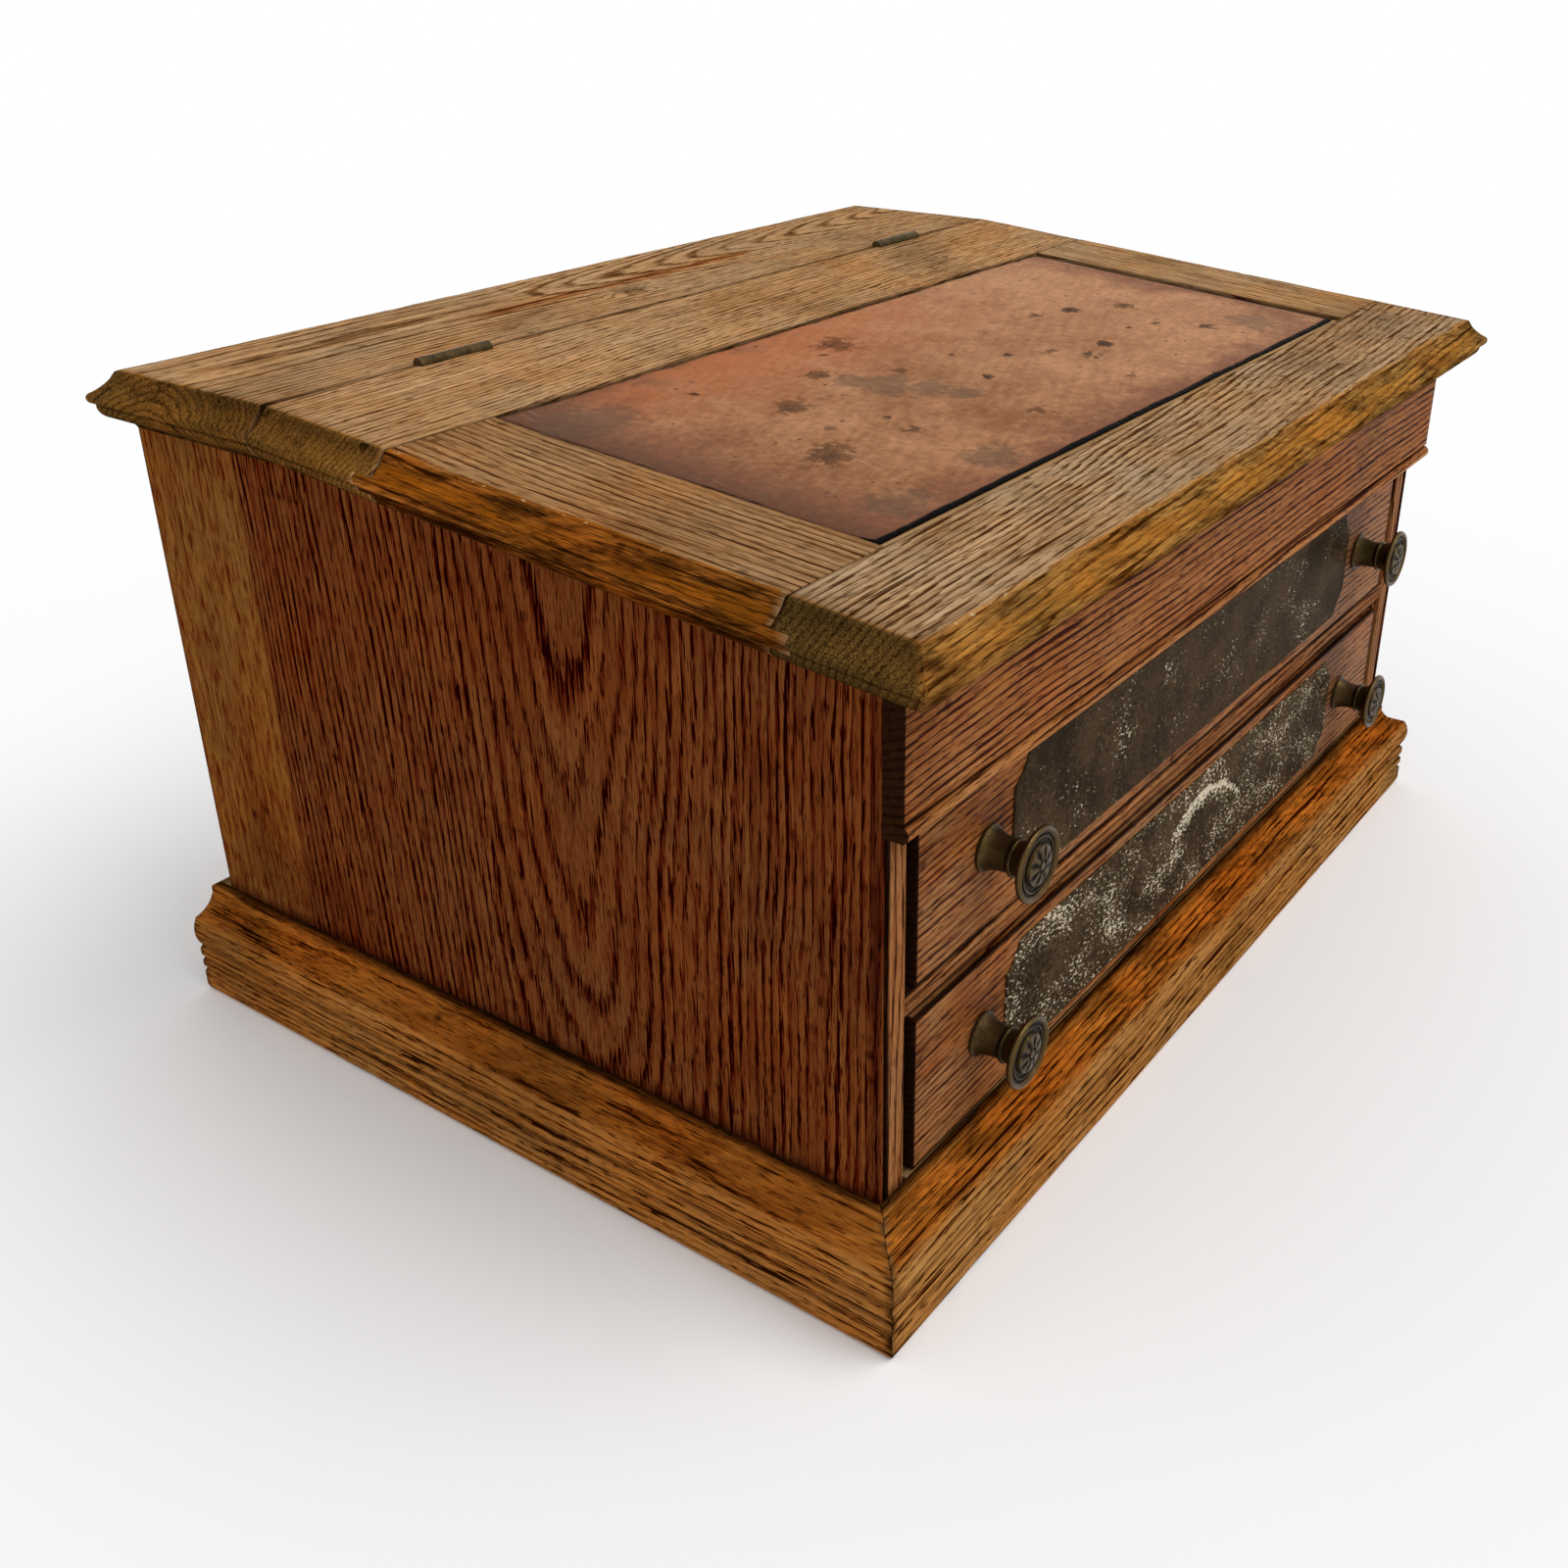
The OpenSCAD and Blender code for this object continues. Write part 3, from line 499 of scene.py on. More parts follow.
@dataclass
class Figure:
    """Tones of one board that the layers of its finish share.

    spot is the place, axes its three parts and grain these parts along, across and into the board.
    early is the porous early wood and ring a chance tone for each ring. fibre, dash, vein, smudge,
    fuzz, rub and scuff are noises along the grain, and cloud is one without direction. pores are the
    open vessels, lit their far sides, worn the rubbed places and speck small dark spots.
    """

    bench: Bench
    spot: Tone
    axes: tuple[Tone, ...]
    grain: tuple[Tone, ...]
    early: Tone
    ring: Tone
    fibre: Tone
    dash: Tone
    vein: Tone
    smudge: Tone
    fuzz: Tone
    rub: Tone
    scuff: Tone
    cloud: Tone
    pores: Tone
    lit: Tone
    worn: Tone
    speck: Tone


@dataclass(frozen=True)
class OakFinish:
    """Ring-porous wood cut from a log, with varnish, wear and dirt.

    The figure comes first, then the layers over it: bare wood, worn edges, the board's own cast, and
    dirt with painted shade. depth and lift deepen the whole at last, as a power of each colour part and a
    factor on it.
    """

    name: str
    grain: Grain
    light: Colour
    dark: Colour
    pore: Colour
    worn: Colour
    depth: Triple = (1.0, 1.0, 1.0)
    lift: Triple = (1.0, 1.0, 1.0)
    centre: Triple = (0.0, 0.0, 0.0)
    slope: float = 0.0
    planks: tuple[Plank, ...] = (Plank(),)
    ring: float = 3.2
    wander: Pair = (9.0, 5.0)
    ragged: float = 0.5
    point: float = 0.0
    early_share: float = 0.5
    pore_cover: float = 0.85
    pore_bias: float = 0.75
    pore_pull: float = 1.4
    dash_run: float = 24.0
    prick_amount: float = 0.75
    smudge_amount: float = 0.15
    hue_drift: float = 0.2
    band_cast: Triple = (1.05, 0.7, 0.3)
    band_dark: Triple = (0.42, 0.29, 0.13)
    crack_amount: float = 0.5
    lit_amount: float = 0.35
    scuff_amount: float = 0.75
    fleck_amount: float = 0.0
    fleck_size: Pair = (11.0, 3.3)
    end_colour: Colour = tint("241806")
    end_amount: float = 0.9
    streaks: tuple[Streak, ...] = ()
    knots: tuple[Knot, ...] = ()
    worn_amount: float = 0.35
    stain_amount: float = 0.5
    speck_amount: float = 0.5
    edge_colour: Colour = tint("b87a32")
    edge_amount: float = 0.6
    dirt_shade_lines: tuple[DirtShadeLine, ...] = ()
    rough: float = 0.5
    gloss: float = 0.0
    relief: float = 0.5
    dash_cross: float = 0.75
    lit_shift: float = 0.533
    pore_depth: float = 0.5 * MM
    nick_colour: Colour = tint("d2b488")
    end_light: Colour = tint("7d6236")
    dirt_shade_colour: Colour = tint("1c1108")

    def _step(self, across: Tone, pick: Callable[[Plank], float]) -> object:
        """One plank's value where it lies, changing at each joint.

        Args:
            across: Place across the piece.
            pick: Reads the value from a plank.

        Returns:
            A number for one plank, else a tone.
        """
        value: object = pick(self.planks[0])
        for before, plank in zip(self.planks, self.planks[1:]):
            value = value + across.over(plank.start) * (pick(plank) - pick(before))
        return value

    def _near(self, knot: Knot, along: Tone, across: Tone) -> Tone:
        """One at a knot's middle, falling to nothing at three radii."""
        run, side = (along - knot.along) * 0.55, across - knot.across
        return (run * run + side * side).root().rise(3 * knot.radius, 0.0)

    def _rings(self, bench: Bench, grain: Sequence[Tone]) -> tuple[Tone, Tone]:
        """Growth rings as the distance from a wandering, slanting heart, divided into rings.

        Args:
            bench: The material's bench.
            grain: Places along, across and into the board.

        Returns:
            The porous early wood from 0 to 1, and a chance tone for each ring.
        """
        along, across, deep = grain
        shift = self._step(across, lambda plank: plank.start * 0.37)
        drawn = bench.vector(along * 0.0042 + shift, across * 0.013, deep * 0.013)
        inputs = {"Vector": drawn, "Scale": 1.0, "Detail": 2.0}
        sway_u, sway_v, swell = bench.split(bench.node("ShaderNodeTexNoise", None, inputs, "Color"))
        heart_u = self._step(across, lambda plank: plank.heart[0])
        heart_v = self._step(across, lambda plank: plank.heart[1])
        lean = self._step(across, lambda plank: plank.lean)
        drift = self._step(across, lambda plank: plank.drift)
        begin = self._step(across, lambda plank: plank.straight_to)
        u = across - heart_u - along * lean + (sway_u - 0.5) * (2 * self.wander[0])
        v = deep - heart_v - along.most(begin) * drift + (sway_v - 0.5) * (2 * self.wander[1])
        jag = bench.fibres(grain, *Fibre.JAG.value) * self.ragged
        radius = (u * u + v * v).root() + u.size() * self.point + jag + swell * (2.5 * self.ring)
        for knot in self.knots:
            radius = radius + self._near(knot, along, across) * (1.6 * knot.radius)
        phase = radius / self._step(across, lambda plank: plank.fine * self.ring)
        whole = phase.floor()
        part = phase - whole
        ring = bench.chance(whole)
        early = part.rise((ring * 0.7 + 0.65) * self.early_share, 0.0).most(part.rise(0.92, 1.0))
        loud = self._step(across, lambda plank: 1 - plank.calm)
        return early * (0.55 + ring * 0.45) * loud, ring

    def _figure(self, bench: Bench) -> Figure:
        """Draw the rings, the pores and the noises of wear.

        Args:
            bench: The material's bench.

        Returns:
            The tones that the layers share.
        """
        spot = bench.place(self.centre, self.slope)
        axes = bench.split(spot)
        grain = tuple(axes[k] for k in self.grain.value)
        along, across, deep = grain
        early, ring = self._rings(bench, grain)
        fibre, vein, prick, smudge, fuzz, rub, scuff = (bench.fibres(grain, *kind.value) for kind in (
            Fibre.THREAD, Fibre.VEIN, Fibre.PRICK, Fibre.SMUDGE, Fibre.FUZZ, Fibre.RUB, Fibre.SCUFF))
        dashes = (1 / self.dash_run, self.dash_cross, 1.5, 0.5)
        dash = bench.fibres(grain, *dashes)
        beside = bench.fibres((along, across + self.lit_shift, deep), *dashes)
        pull = early * self.pore_pull + vein * 0.2 - self.pore_bias
        pores = (dash + pull).rise(0.0, 0.25)
        lit = ((beside + pull).rise(0.0, 0.25) - pores).most(0.0) * self.lit_amount
        loud = self._step(across, lambda plank: 1 - plank.calm)
        pores = pores.most((prick + early * 0.5).rise(0.45, 0.7) * self.prick_amount * loud)
        cloud = bench.noise(spot, 0.0085, 4.0, 0.55)
        speck = bench.cells(bench.stretch(spot, (0.045, 0.045, 0.045))).rise(0.16, 0.05)
        return Figure(
            bench, spot, axes, grain, early, ring, fibre, dash, vein, rub=rub, scuff=scuff, cloud=cloud,
            smudge=smudge * (self.smudge_amount + 0.3 - loud * 0.3), fuzz=fuzz * (0.7 - loud * 0.7),
            pores=pores, lit=lit, worn=rub.rise(0.0, 0.9) * self.worn_amount,
            speck=speck * cloud.rise(-0.3, 0.4) * self.speck_amount)

    def _bare_wood(self, figure: Figure) -> Tone:
        """Colour of the wood with its flecks, streaks, pores and knots.

        Args:
            figure: The board's tones. Its pores are closed where a fleck lies.

        Returns:
            The colour.
        """
        bench = figure.bench
        along, across, deep = figure.grain
        shade = figure.early * 0.6 + figure.fibre * 0.32 + figure.vein * 0.25 + figure.smudge + figure.fuzz
        colour = bench.mix((shade + 0.2).rise(-0.1, 0.95), self.light, self.dark)
        colour = bench.mix(figure.worn, colour, self.worn)
        if self.fleck_amount:
            run, cross = (1 / size for size in self.fleck_size)
            ray = bench.cells(bench.vector(along * run, across * cross, deep * cross)) + figure.fibre * 0.06
            ray = ray.rise(0.3, 0.15) * self.fleck_amount
            colour = bench.mix(ray, colour, self.edge_colour)
            figure.pores = figure.pores * (1.0 - ray)
        for streak in self.streaks:
            begun = along.rise(streak.begin, streak.begin + streak.soft)
            ended = along.rise(streak.end, streak.end - streak.soft)
            aside = (across - streak.across + figure.vein * 1.5).size()
            near = aside.rise(streak.width, streak.width * 0.3)
            broken = (0.6 + figure.dash * 0.5 + figure.smudge).most(0.0).least(0.9)
            colour = bench.mix(begun * ended * near * broken * streak.strength, colour, streak.colour)
        colour = bench.mix((figure.pores * self.pore_cover).least(1.0), colour, self.pore)
        for knot in self.knots:
            colour = bench.mix(self._near(knot, along, across).rise(0.5, 0.95) * 0.45, colour, self.pore)
        return colour

    def _worn_edges(self, figure: Figure, colour: Tone) -> Tone:
        """Colour with the moulded band, the rubbed edges, the nicks and the end grain.

        Args:
            figure: The board's tones.
            colour: Colour so far.

        Returns:
            The new colour.
        """
        bench = figure.bench
        along, across, deep = figure.grain
        flame = bench.fibres((along + deep * 3.0, across, deep), *Fibre.FLAME.value) + figure.fibre * 0.3
        hue = bench.mix(flame.rise(-0.55, 0.35), (*self.band_dark, 1.0), (*self.band_cast, 1.0))
        colour = bench.mix(bench.mark("band"), colour, bench.mix(1.0, colour, hue, "MULTIPLY"))
        edge = (bench.mark("wear") * (0.9 + figure.scuff * 0.8)).rise(0.45, 0.85) * self.edge_amount
        rubbed = bench.mix(figure.early * 0.5 + figure.pores * 0.4, self.edge_colour, self.dark)
        colour = bench.mix(edge, colour, rubbed)
        nick = bench.mark("nick") * (0.45 + bench.noise(figure.spot, 0.16, 4.0, 0.75))
        colour = bench.mix(nick.rise(0.7, 0.95) * 0.8, colour, self.nick_colour)
        end = bench.mark("end") * (0.8 + figure.fibre * 0.2 + figure.cloud * 0.2) * self.end_amount
        shade = (figure.fibre + figure.early * 0.4).rise(-0.5, 0.9)
        tip = bench.mix(shade, self.end_light, self.end_colour)
        return bench.mix(end.most(0.0).least(1.0), colour, tip)

    def _own_cast(self, figure: Figure, colour: Tone) -> Tone:
        """Colour with the rings' and stains' light and dark, and the cast of each plank.

        Args:
            figure: The board's tones.
            colour: Colour so far.

        Returns:
            The new colour.
        """
        bench = figure.bench
        stain = figure.cloud.rise(0.05, 0.85) * self.stain_amount
        level = 0.92 + figure.ring * 0.16 - stain * 0.55 + figure.fibre * 0.12 + figure.lit
        across = figure.grain[1]
        cast = bench.vector(*(self._step(across, lambda plank, k=k: plank.cast[k]) for k in range(3)))
        warm = bench.noise(figure.spot, 0.013, 3.0, 0.6) * self.hue_drift
        drift = bench.vector(1.0 + warm * 0.3, 1.0 - warm * 0.3, 1.0 - warm)
        cast = bench.mix(1.0, cast, drift, "MULTIPLY")
        return bench.mix(1.0, bench.brighten(colour, level), cast, "MULTIPLY")

    def _dirt_and_shade_cover(self, figure: Figure) -> Tone:
        """Dirt and painted shade in hollows, dirt in specks, scuffs and cracks of the band, and both along
        the dirt-and-shade lines.

        Args:
            figure: The board's tones.

        Returns:
            How far the dirt and painted shade cover, from 0.
        """
        bench = figure.bench
        dirt_and_shade = bench.mark("hollow") * (0.75 + figure.rub * 0.35) + figure.speck
        scuffed = (figure.rub * 0.4 - figure.scuff).rise(0.15, 0.9) * self.scuff_amount
        crack = bench.fibres(figure.grain, *Fibre.CRACK.value).size().rise(0.14, 0.03) * self.crack_amount
        dirt_and_shade = dirt_and_shade + bench.mark("band") * (scuffed + crack)
        for line in self.dirt_shade_lines:
            near = (figure.axes[line.axis] - line.place).size().rise(line.reach, 0.0)
            if line.skin:
                near = near * figure.grain[2].rise(line.skin, line.skin * 0.4)
            dirt_and_shade = dirt_and_shade + near * (0.8 + figure.cloud * 0.5) * line.strength
        return dirt_and_shade

    def material(self) -> Material:
        """Build the material, layer by layer.

        Returns:
            The finished material.
        """
        bench = Bench(self.name)
        figure = self._figure(bench)
        colour = self._bare_wood(figure)
        colour = self._worn_edges(figure, colour)
        colour = self._own_cast(figure, colour)
        dirt_and_shade = self._dirt_and_shade_cover(figure)
        # Dirt and painted shade darken the colour in hollows, creases, gaps and along the lines.
        colour = bench.mix(dirt_and_shade.most(0.0).least(0.92), colour, self.dirt_shade_colour)
        colour = bench.deepen(colour, self.depth, self.lift)
        height = figure.fibre * 0.12 - figure.pores - figure.early * 0.25 - figure.speck * 0.5
        bench.bump(height, self.pore_depth, self.relief)
        rough = self.rough + figure.early * 0.08 + figure.worn * 0.2 + dirt_and_shade * 0.2 - figure.cloud * 0.05
        return bench.finish(Base_Color=colour, Roughness=rough, Specular_IOR_Level=self.gloss)


@dataclass(frozen=True)
class LeatherFinish:
    """Old hide: mottled and streaky, ruddy about one place, stained, and darker towards its edges, mauve
    there and with painted shadow.

    stains are dark water marks, clouds paler and larger ones and pits dark knocks, each with its place
    and size. half, front and flush are the hide's half width, front edge and ruddy place. All in mm.
    """

    name: str = "writing_leather"
    slope: float = 0.0
    pivot: Triple = (0.0, 0.0, 0.0)
    hide_light: Colour = tint("bd8a63")
    hide_dark: Colour = tint("80502d")
    hide_red: Colour = tint("b0643c")
    hide_mauve: Colour = tint("7c4e3a")
    hide_old_and_shadow: Colour = tint("523a2f")
    cloud_colour: Colour = tint("5c4a3c")
    stain_colour: Colour = tint("3a2a20")
    pit_colour: Colour = tint("2a160d")
    pale_colour: Colour = tint("d0a184")
    gap_shadow_colour: Colour = tint("070504")
    half: float = 239.0
    front: float = -286.0
    flush: Pair = (-80.0, -84.0)
    stains: tuple[Triple, ...] = (
        (-82, -140, 11), (-131, -160, 11), (-172, -210, 15), (-142, -190, 9), (-30, -112, 17),
        (-48, -244, 8), (46, -198, 8), (164, -182, 9), (-45, -162, 5), (95, -178, 6), (-116, -218, 7))
    clouds: tuple[Triple, ...] = (
        (-78, -156, 18), (-70, -172, 22), (-58, -188, 20), (-52, -204, 14), (-216, -108, 34),
        (-120, -262, 20), (190, -250, 22), (-196, -264, 22))
    pits: tuple[Triple, ...] = (
        (103, -156, 6), (129, -164, 6), (53, -216, 7), (80, -212, 6), (41, -250, 5), (158, -238, 7),
        (-21, -198, 6), (-52, -120, 3), (-110, -201, 3), (-150, -117, 4), (120, -206, 4),
        (142, -212, 4), (-2, -165, 3), (20, -186, 3))

    def _marks(self, spots: Sequence[Triple], x: Tone, y: Tone, rough: Tone) -> Tone:
        """One at the middle of each mark, with a ragged edge.

        Args:
            spots: Place and size of each mark.
            x: Place across.
            y: Place along the slope.
            rough: Noise that frays the edges.

        Returns:
            The marks from 0 to 1.
        """
        near: Tone | None = None
        for left, up, size in spots:
            dx, dy = x - left, (y - up) * 1.25
            reach = (dx * dx + dy * dy).root() + rough * (0.75 * size)
            mark = reach.rise(0.95 * size, 0.5 * size)
            near = mark if near is None else near.most(mark)
        return near

    def material(self) -> Material:
        """Build the material from mottling, streaks, stains, pits, scratches and a fine hide grain.

        Returns:
            The finished material.
        """
        bench = Bench(self.name)
        spot = bench.place(self.pivot, self.slope)
        x, y, _ = bench.split(spot)
        broad = bench.noise(spot, 0.009, 3.0, 0.6)
        mottle = bench.noise(spot, 0.035, 5.0, 0.65)
        fine = bench.noise(spot, 0.2, 4.0, 0.65)
        brush = bench.noise(bench.vector(x * 0.03 + y * 0.05, x * 0.09 - y * 0.24, 0.0), 1.0, 4.0, 0.6)
        pick = mottle * 0.3 + broad * 0.6 + brush * 0.25 + fine * 0.3 + x * 0.0015
        colour = bench.mix(pick.rise(-1.4, 1.2), self.hide_dark, self.hide_light)
        over, up = (x - self.flush[0]) * 0.0062, (y - self.flush[1]) * 0.016
        ruddy = ((over * over + up * up).root() + mottle * 0.4 + fine * 0.1).rise(1.5, -0.1)
        colour = bench.mix(ruddy * 0.75, colour, self.hide_red)
        edge = ((x + self.half) * 0.75).least((self.half - x) * 1.1).least((y - self.front) * 1.5)
        mauve = (edge + mottle * 22.0 + broad * 14.0 + fine * 5.0).rise(50.0, 2.0)
        colour = bench.mix(mauve * 0.8, colour, self.hide_mauve)
        # Painted shadow towards the frame's left and back edges and along the front and back.
        shadow = (bench.mark("rim") * 1.3 + mottle * 0.4 + broad * 0.2).rise(0.35, 1.15)
        colour = bench.mix(shadow * 0.6, colour, self.hide_old_and_shadow)
        fray = mottle * 0.7 + fine * 0.7
        cloud = self._marks(self.clouds, x, y, mottle * 0.5 + fine * 0.3)
        colour = bench.mix(cloud * (0.5 + brush * 0.15), colour, self.cloud_colour)
        stain = self._marks(self.stains, x, y, fray * 1.5 + 0.15)
        colour = bench.mix(stain * (0.62 + fine * 0.6).most(0.0).least(0.9), colour, self.stain_colour)
        pit = self._marks(self.pits, x, y, fray * 1.6 + brush * 0.4 + 0.1)
        dots = bench.cells(bench.stretch(spot, (0.08, 0.12, 0.12))) + fine * 0.03
        pit = pit.most(dots.rise(0.15, 0.07) * (mottle + broad * 0.4).rise(-0.1, 0.5))
        ticks = bench.cells(bench.vector(x * 0.05 + y * 0.04, y * 0.2, 2.0)) + fine * 0.04
        pit = pit.most(ticks.rise(0.13, 0.06) * (mottle - broad * 0.4).rise(0.0, 0.5) * 0.8)
        colour = bench.mix(pit * (0.8 + fine * 0.3).most(0.0).least(0.95), colour, self.pit_colour)
        scratch = bench.noise(bench.vector(x * 0.012 + y * 0.02, x * 0.25 - y * 0.6, 0.0)).rise(0.7, 1.0)
        colour = bench.mix(scratch * 0.3, colour, self.hide_old_and_shadow)
        pale = bench.noise(bench.vector(x * 0.4 - y * 0.1, x * 0.006 + y * 0.016, 4.0)).rise(0.75, 1.05)
        colour = bench.mix(pale * 0.35, colour, self.pale_colour)
        # Painted shadow on the rolled edge where the leather gapes from the frame.
        gap = (bench.mark("gap") + mottle * 0.2 + fine * 0.1).rise(0.35, 0.7)
        colour = bench.mix(gap, colour, self.gap_shadow_colour)
        hide = bench.cells(bench.stretch(spot, (0.8, 0.8, 0.8)))
        colour = bench.brighten(colour, 0.91 + fine * 0.14 + brush * 0.05 + hide * 0.1)
        height = hide * 0.15 + fine * 0.6 + mottle * 0.8 + brush * 0.15 - pit * 0.8 - scratch * 0.5
        bench.bump(height, 0.5 * MM, 0.45)
        rough = 0.42 + fine * 0.06 + stain * 0.15 + shadow * 0.08
        return bench.finish(Base_Color=colour, Roughness=rough, Specular_IOR_Level=0.008)


@dataclass(frozen=True)
class JapanFinish:
    """Black lacquer on thin metal, crazed all over, chipped to pale flecks and rubbed in an arc.

    bare is how much of the plate is chipped, and arc the centre and radius of a long pale rub, in mm.
    """

    name: str
    bare: float = 0.0
    arc: Triple | None = None
    ground_dark: Colour = tint("2a1e12")
    ground_light: Colour = tint("4c3b27")
    craze_colour: Colour = tint("140e08")
    dust_colour: Colour = tint("8a7655")
    chip_colour: Colour = tint("dccfb4")

    def material(self) -> Material:
        """Build the material from crazing cells, clustered chips and the rubbed arc.

        Returns:
            The finished material.
        """
        bench = Bench(self.name)
        spot = bench.place()
        x, _, z = bench.split(spot)
        drift = bench.noise(spot, 0.03, 4.0, 0.6)
        fine = bench.noise(spot, 0.5, 4.0, 0.65)
        web = bench.vector(x * 0.4 + fine * 0.3, 0.0, z * 0.4 + drift * 0.3)
        craze = bench.cells(web, "DISTANCE_TO_EDGE")
        colour = bench.mix((fine * 0.7 + drift).rise(-0.8, 0.9), self.ground_dark, self.ground_light)
        colour = bench.mix(craze.rise(0.12, 0.02) * 0.4, colour, self.craze_colour)
        run, side = x * 0.96 - z * 0.28, x * 0.28 + z * 0.96
        group = bench.noise(bench.vector(run * 0.03, 3.0, side * 0.045), 1.0, 2.0, 0.6)
        fleck = bench.noise(bench.vector(run * 0.32, 0.0, side * 0.6), 1.0, 2.0, 0.8)
        chip = fleck + group * 0.55 + self.bare
        if self.arc:
            dx, dz = x - self.arc[0], z - self.arc[1]
            off = (dx * dx + dz * dz).root() - self.arc[2] + drift * 1.5 + fine * 0.6
            rub = off.size().rise(3.0, 0.3) * x.rise(-15.0, 25.0) * x.rise(70.0, 58.0)
            below = off.rise(-15.0, -2.0) * off.rise(1.0, -1.0) * x.rise(-36.0, -14.0) * x.rise(44.0, 12.0)
            chip = chip + rub * 0.65 + below * 0.75
        chips = chip.rise(0.7, 0.86)
        dust = (fleck * 0.7 + fine * 0.6 + group * 0.5 + self.bare * 1.4).rise(0.1, 1.1) * 0.28
        colour = bench.mix(dust, colour, self.dust_colour)
        colour = bench.mix(chips * (0.8 + fine * 0.5).most(0.0).least(1.0), colour, self.chip_colour)
        bench.bump(craze.rise(0.0, 0.25) * 0.5 + fine * 0.5 + chips * 0.3, 0.4 * MM, 0.55)
        rough = 0.46 + fine * 0.08 + chips * 0.2
        return bench.finish(Base_Color=colour, Roughness=rough, Specular_IOR_Level=0.01)


@dataclass(frozen=True)
class MetalFinish:
    """Old cast or rolled metal, bright where it is rubbed and dark in its hollows."""

    name: str
    bright: Colour
    dull: Colour
    rough: float = 0.38

    def material(self) -> Material:
        """Build the material from tarnish clouds, pits and marks of wear.

        Returns:
            The finished material.
        """
        bench = Bench(self.name)
        spot = bench.place()
        cloud = bench.noise(spot, 0.12, 4.0, 0.6)
        pits = bench.noise(spot, 1.3, 3.0, 0.6)
        hollow = bench.mark("hollow")
        rubbed = bench.mark("wear")
        tarnish = (cloud * 0.5 + pits * 0.3 + hollow * 1.4 - rubbed * 0.9).rise(-0.7, 0.9)
        colour = bench.mix(tarnish, self.bright, self.dull)
        bench.bump(pits * 0.5 + cloud * 0.3, 0.25 * MM, 0.3)
        rough = self.rough + tarnish * 0.22 + pits * 0.05
        metallic = 1.0 - tarnish * 0.35
        return bench.finish(Base_Color=colour, Roughness=rough, Metallic=metallic, Specular_IOR_Level=0.1)


class Side(Enum):
    """Sides of a board in plan."""

    FRONT = 0
    RIGHT = 1
    BACK = 2
    LEFT = 3


@dataclass(frozen=True)
class Slant:
    """The lid's own frame: hinge line at y = 0 and upper face at z = 0, sloping down to the front."""

    hinge_y: float = 114.654 * MM
    top_z: float = 348.442 * MM
    angle: float = math.radians(4.73)

    def pivot(self) -> Triple:
        """Origin of the lid's frame in the cabinet's."""
        return (0.0, self.hinge_y, self.top_z)

    def world(self, points: Array, sloping: bool) -> Array:
        """Carry points to the cabinet's frame.

        Args:
            points: Array whose last axis is x, y, z.
            sloping: Whether they are in the lid's frame, or in the flat fixed board's.

        Returns:
            The points in the cabinet's frame.
        """
        turn = self.angle if sloping else 0.0
        x, y, z = points[..., 0], points[..., 1], points[..., 2]
        deep = self.hinge_y + y * math.cos(turn) - z * math.sin(turn)
        high = self.top_z + y * math.sin(turn) + z * math.cos(turn)
        return np.stack([x, deep, high], axis=-1)


@dataclass(frozen=True)
class TopEdge:
    """Section of the top's moulded edge: an eased arris, a hollow, a nose, a round and a cove."""

    thickness: float = 28 * MM
    sag: float = 1.1 * MM
    nose: Triple = (8.4 * MM, 12.9 * MM, 3.0 * MM)
    lower: Triple = (2.4 * MM, 17.0 * MM, 6.2 * MM)
    cove: Pair = (1.5 * MM, 5.8 * MM)
    tongue: Pair = (10.0 * MM, 18.0 * MM)
    shrink: float = 0.25 * MM

    def rows(self) -> tuple[Array, Array, Array, Array]:
        """Sample the section from the top inwards of the arris down to the underside.

        The hollow sags below the line from the arris that touches the nose. The nose and the round
        below it are two circles, and the outline takes the farther one at each depth. The cove is an
        arc back inwards.

        Returns:
            Reach past the arris, depth, wear and hollow marks, row by row.
        """
        away = math.hypot(*self.nose[:2])
        turn = math.atan2(self.nose[1], self.nose[0]) - math.asin(self.nose[2] / away)
        chord = math.sqrt(away ** 2 - self.nose[2] ** 2)
        share = np.linspace(0.06, 0.88, 12)
        sink = 4 * self.sag * share * (1 - share)
        hollow = np.stack([chord * share * math.cos(turn) - sink * math.sin(turn),
                           chord * share * math.sin(turn) + sink * math.cos(turn)], axis=1)
        top = self.nose[1] - self.nose[2]
        foot = self.lower[1] + self.lower[2]
        swing = (1 - np.cos(np.linspace(0.2, math.pi, 24))) / 2
        steps = [edge + shift for edge in self.tongue for shift in (-0.03 * MM, 0.0, 0.03 * MM)]
        depth = np.sort(np.concatenate([top + (foot - top) * swing, steps]))
        spans = [np.where(np.abs(depth - low) <= size,
                          middle + np.sqrt(np.maximum(size ** 2 - (depth - low) ** 2, 0.0)), 0.0)
                 for middle, low, size in (self.nose, self.lower)]
        nose = np.stack([np.maximum(*spans), depth], axis=1)
        drop, bend = self.cove
        arc = np.linspace(0.1, math.acos(drop / bend), 9)
        cove = np.stack([self.lower[0] - bend * np.sin(arc), self.thickness + drop - bend * np.cos(arc)], 1)
        arris = np.array([[-3.5, 0.0], [-1.6, 0.05], [-0.5, 0.28], [0.12, 0.62]]) * MM
        outline = np.concatenate([arris, hollow, nose, cove])
        reach, depth = outline[:, 0], outline[:, 1]
        wear = hump(depth, 0.3 * MM, 0.5 * MM) * (reach > -2 * MM)
        wear = np.maximum(wear, 0.85 * hump(depth, 8.0 * MM, 5.5 * MM))
        # Hollow mark: painted shade in the crease below the nose and over the underside, with dirt.
        dirt_and_shade = 0.8 * hump(depth, 16.2 * MM, 0.9 * MM)
        dirt_and_shade = np.maximum(dirt_and_shade, 0.8 * np.clip((depth - 17 * MM) / (7 * MM), 0, 1))
        return reach - self.shrink * (depth > 3 * MM), depth, wear, dirt_and_shade


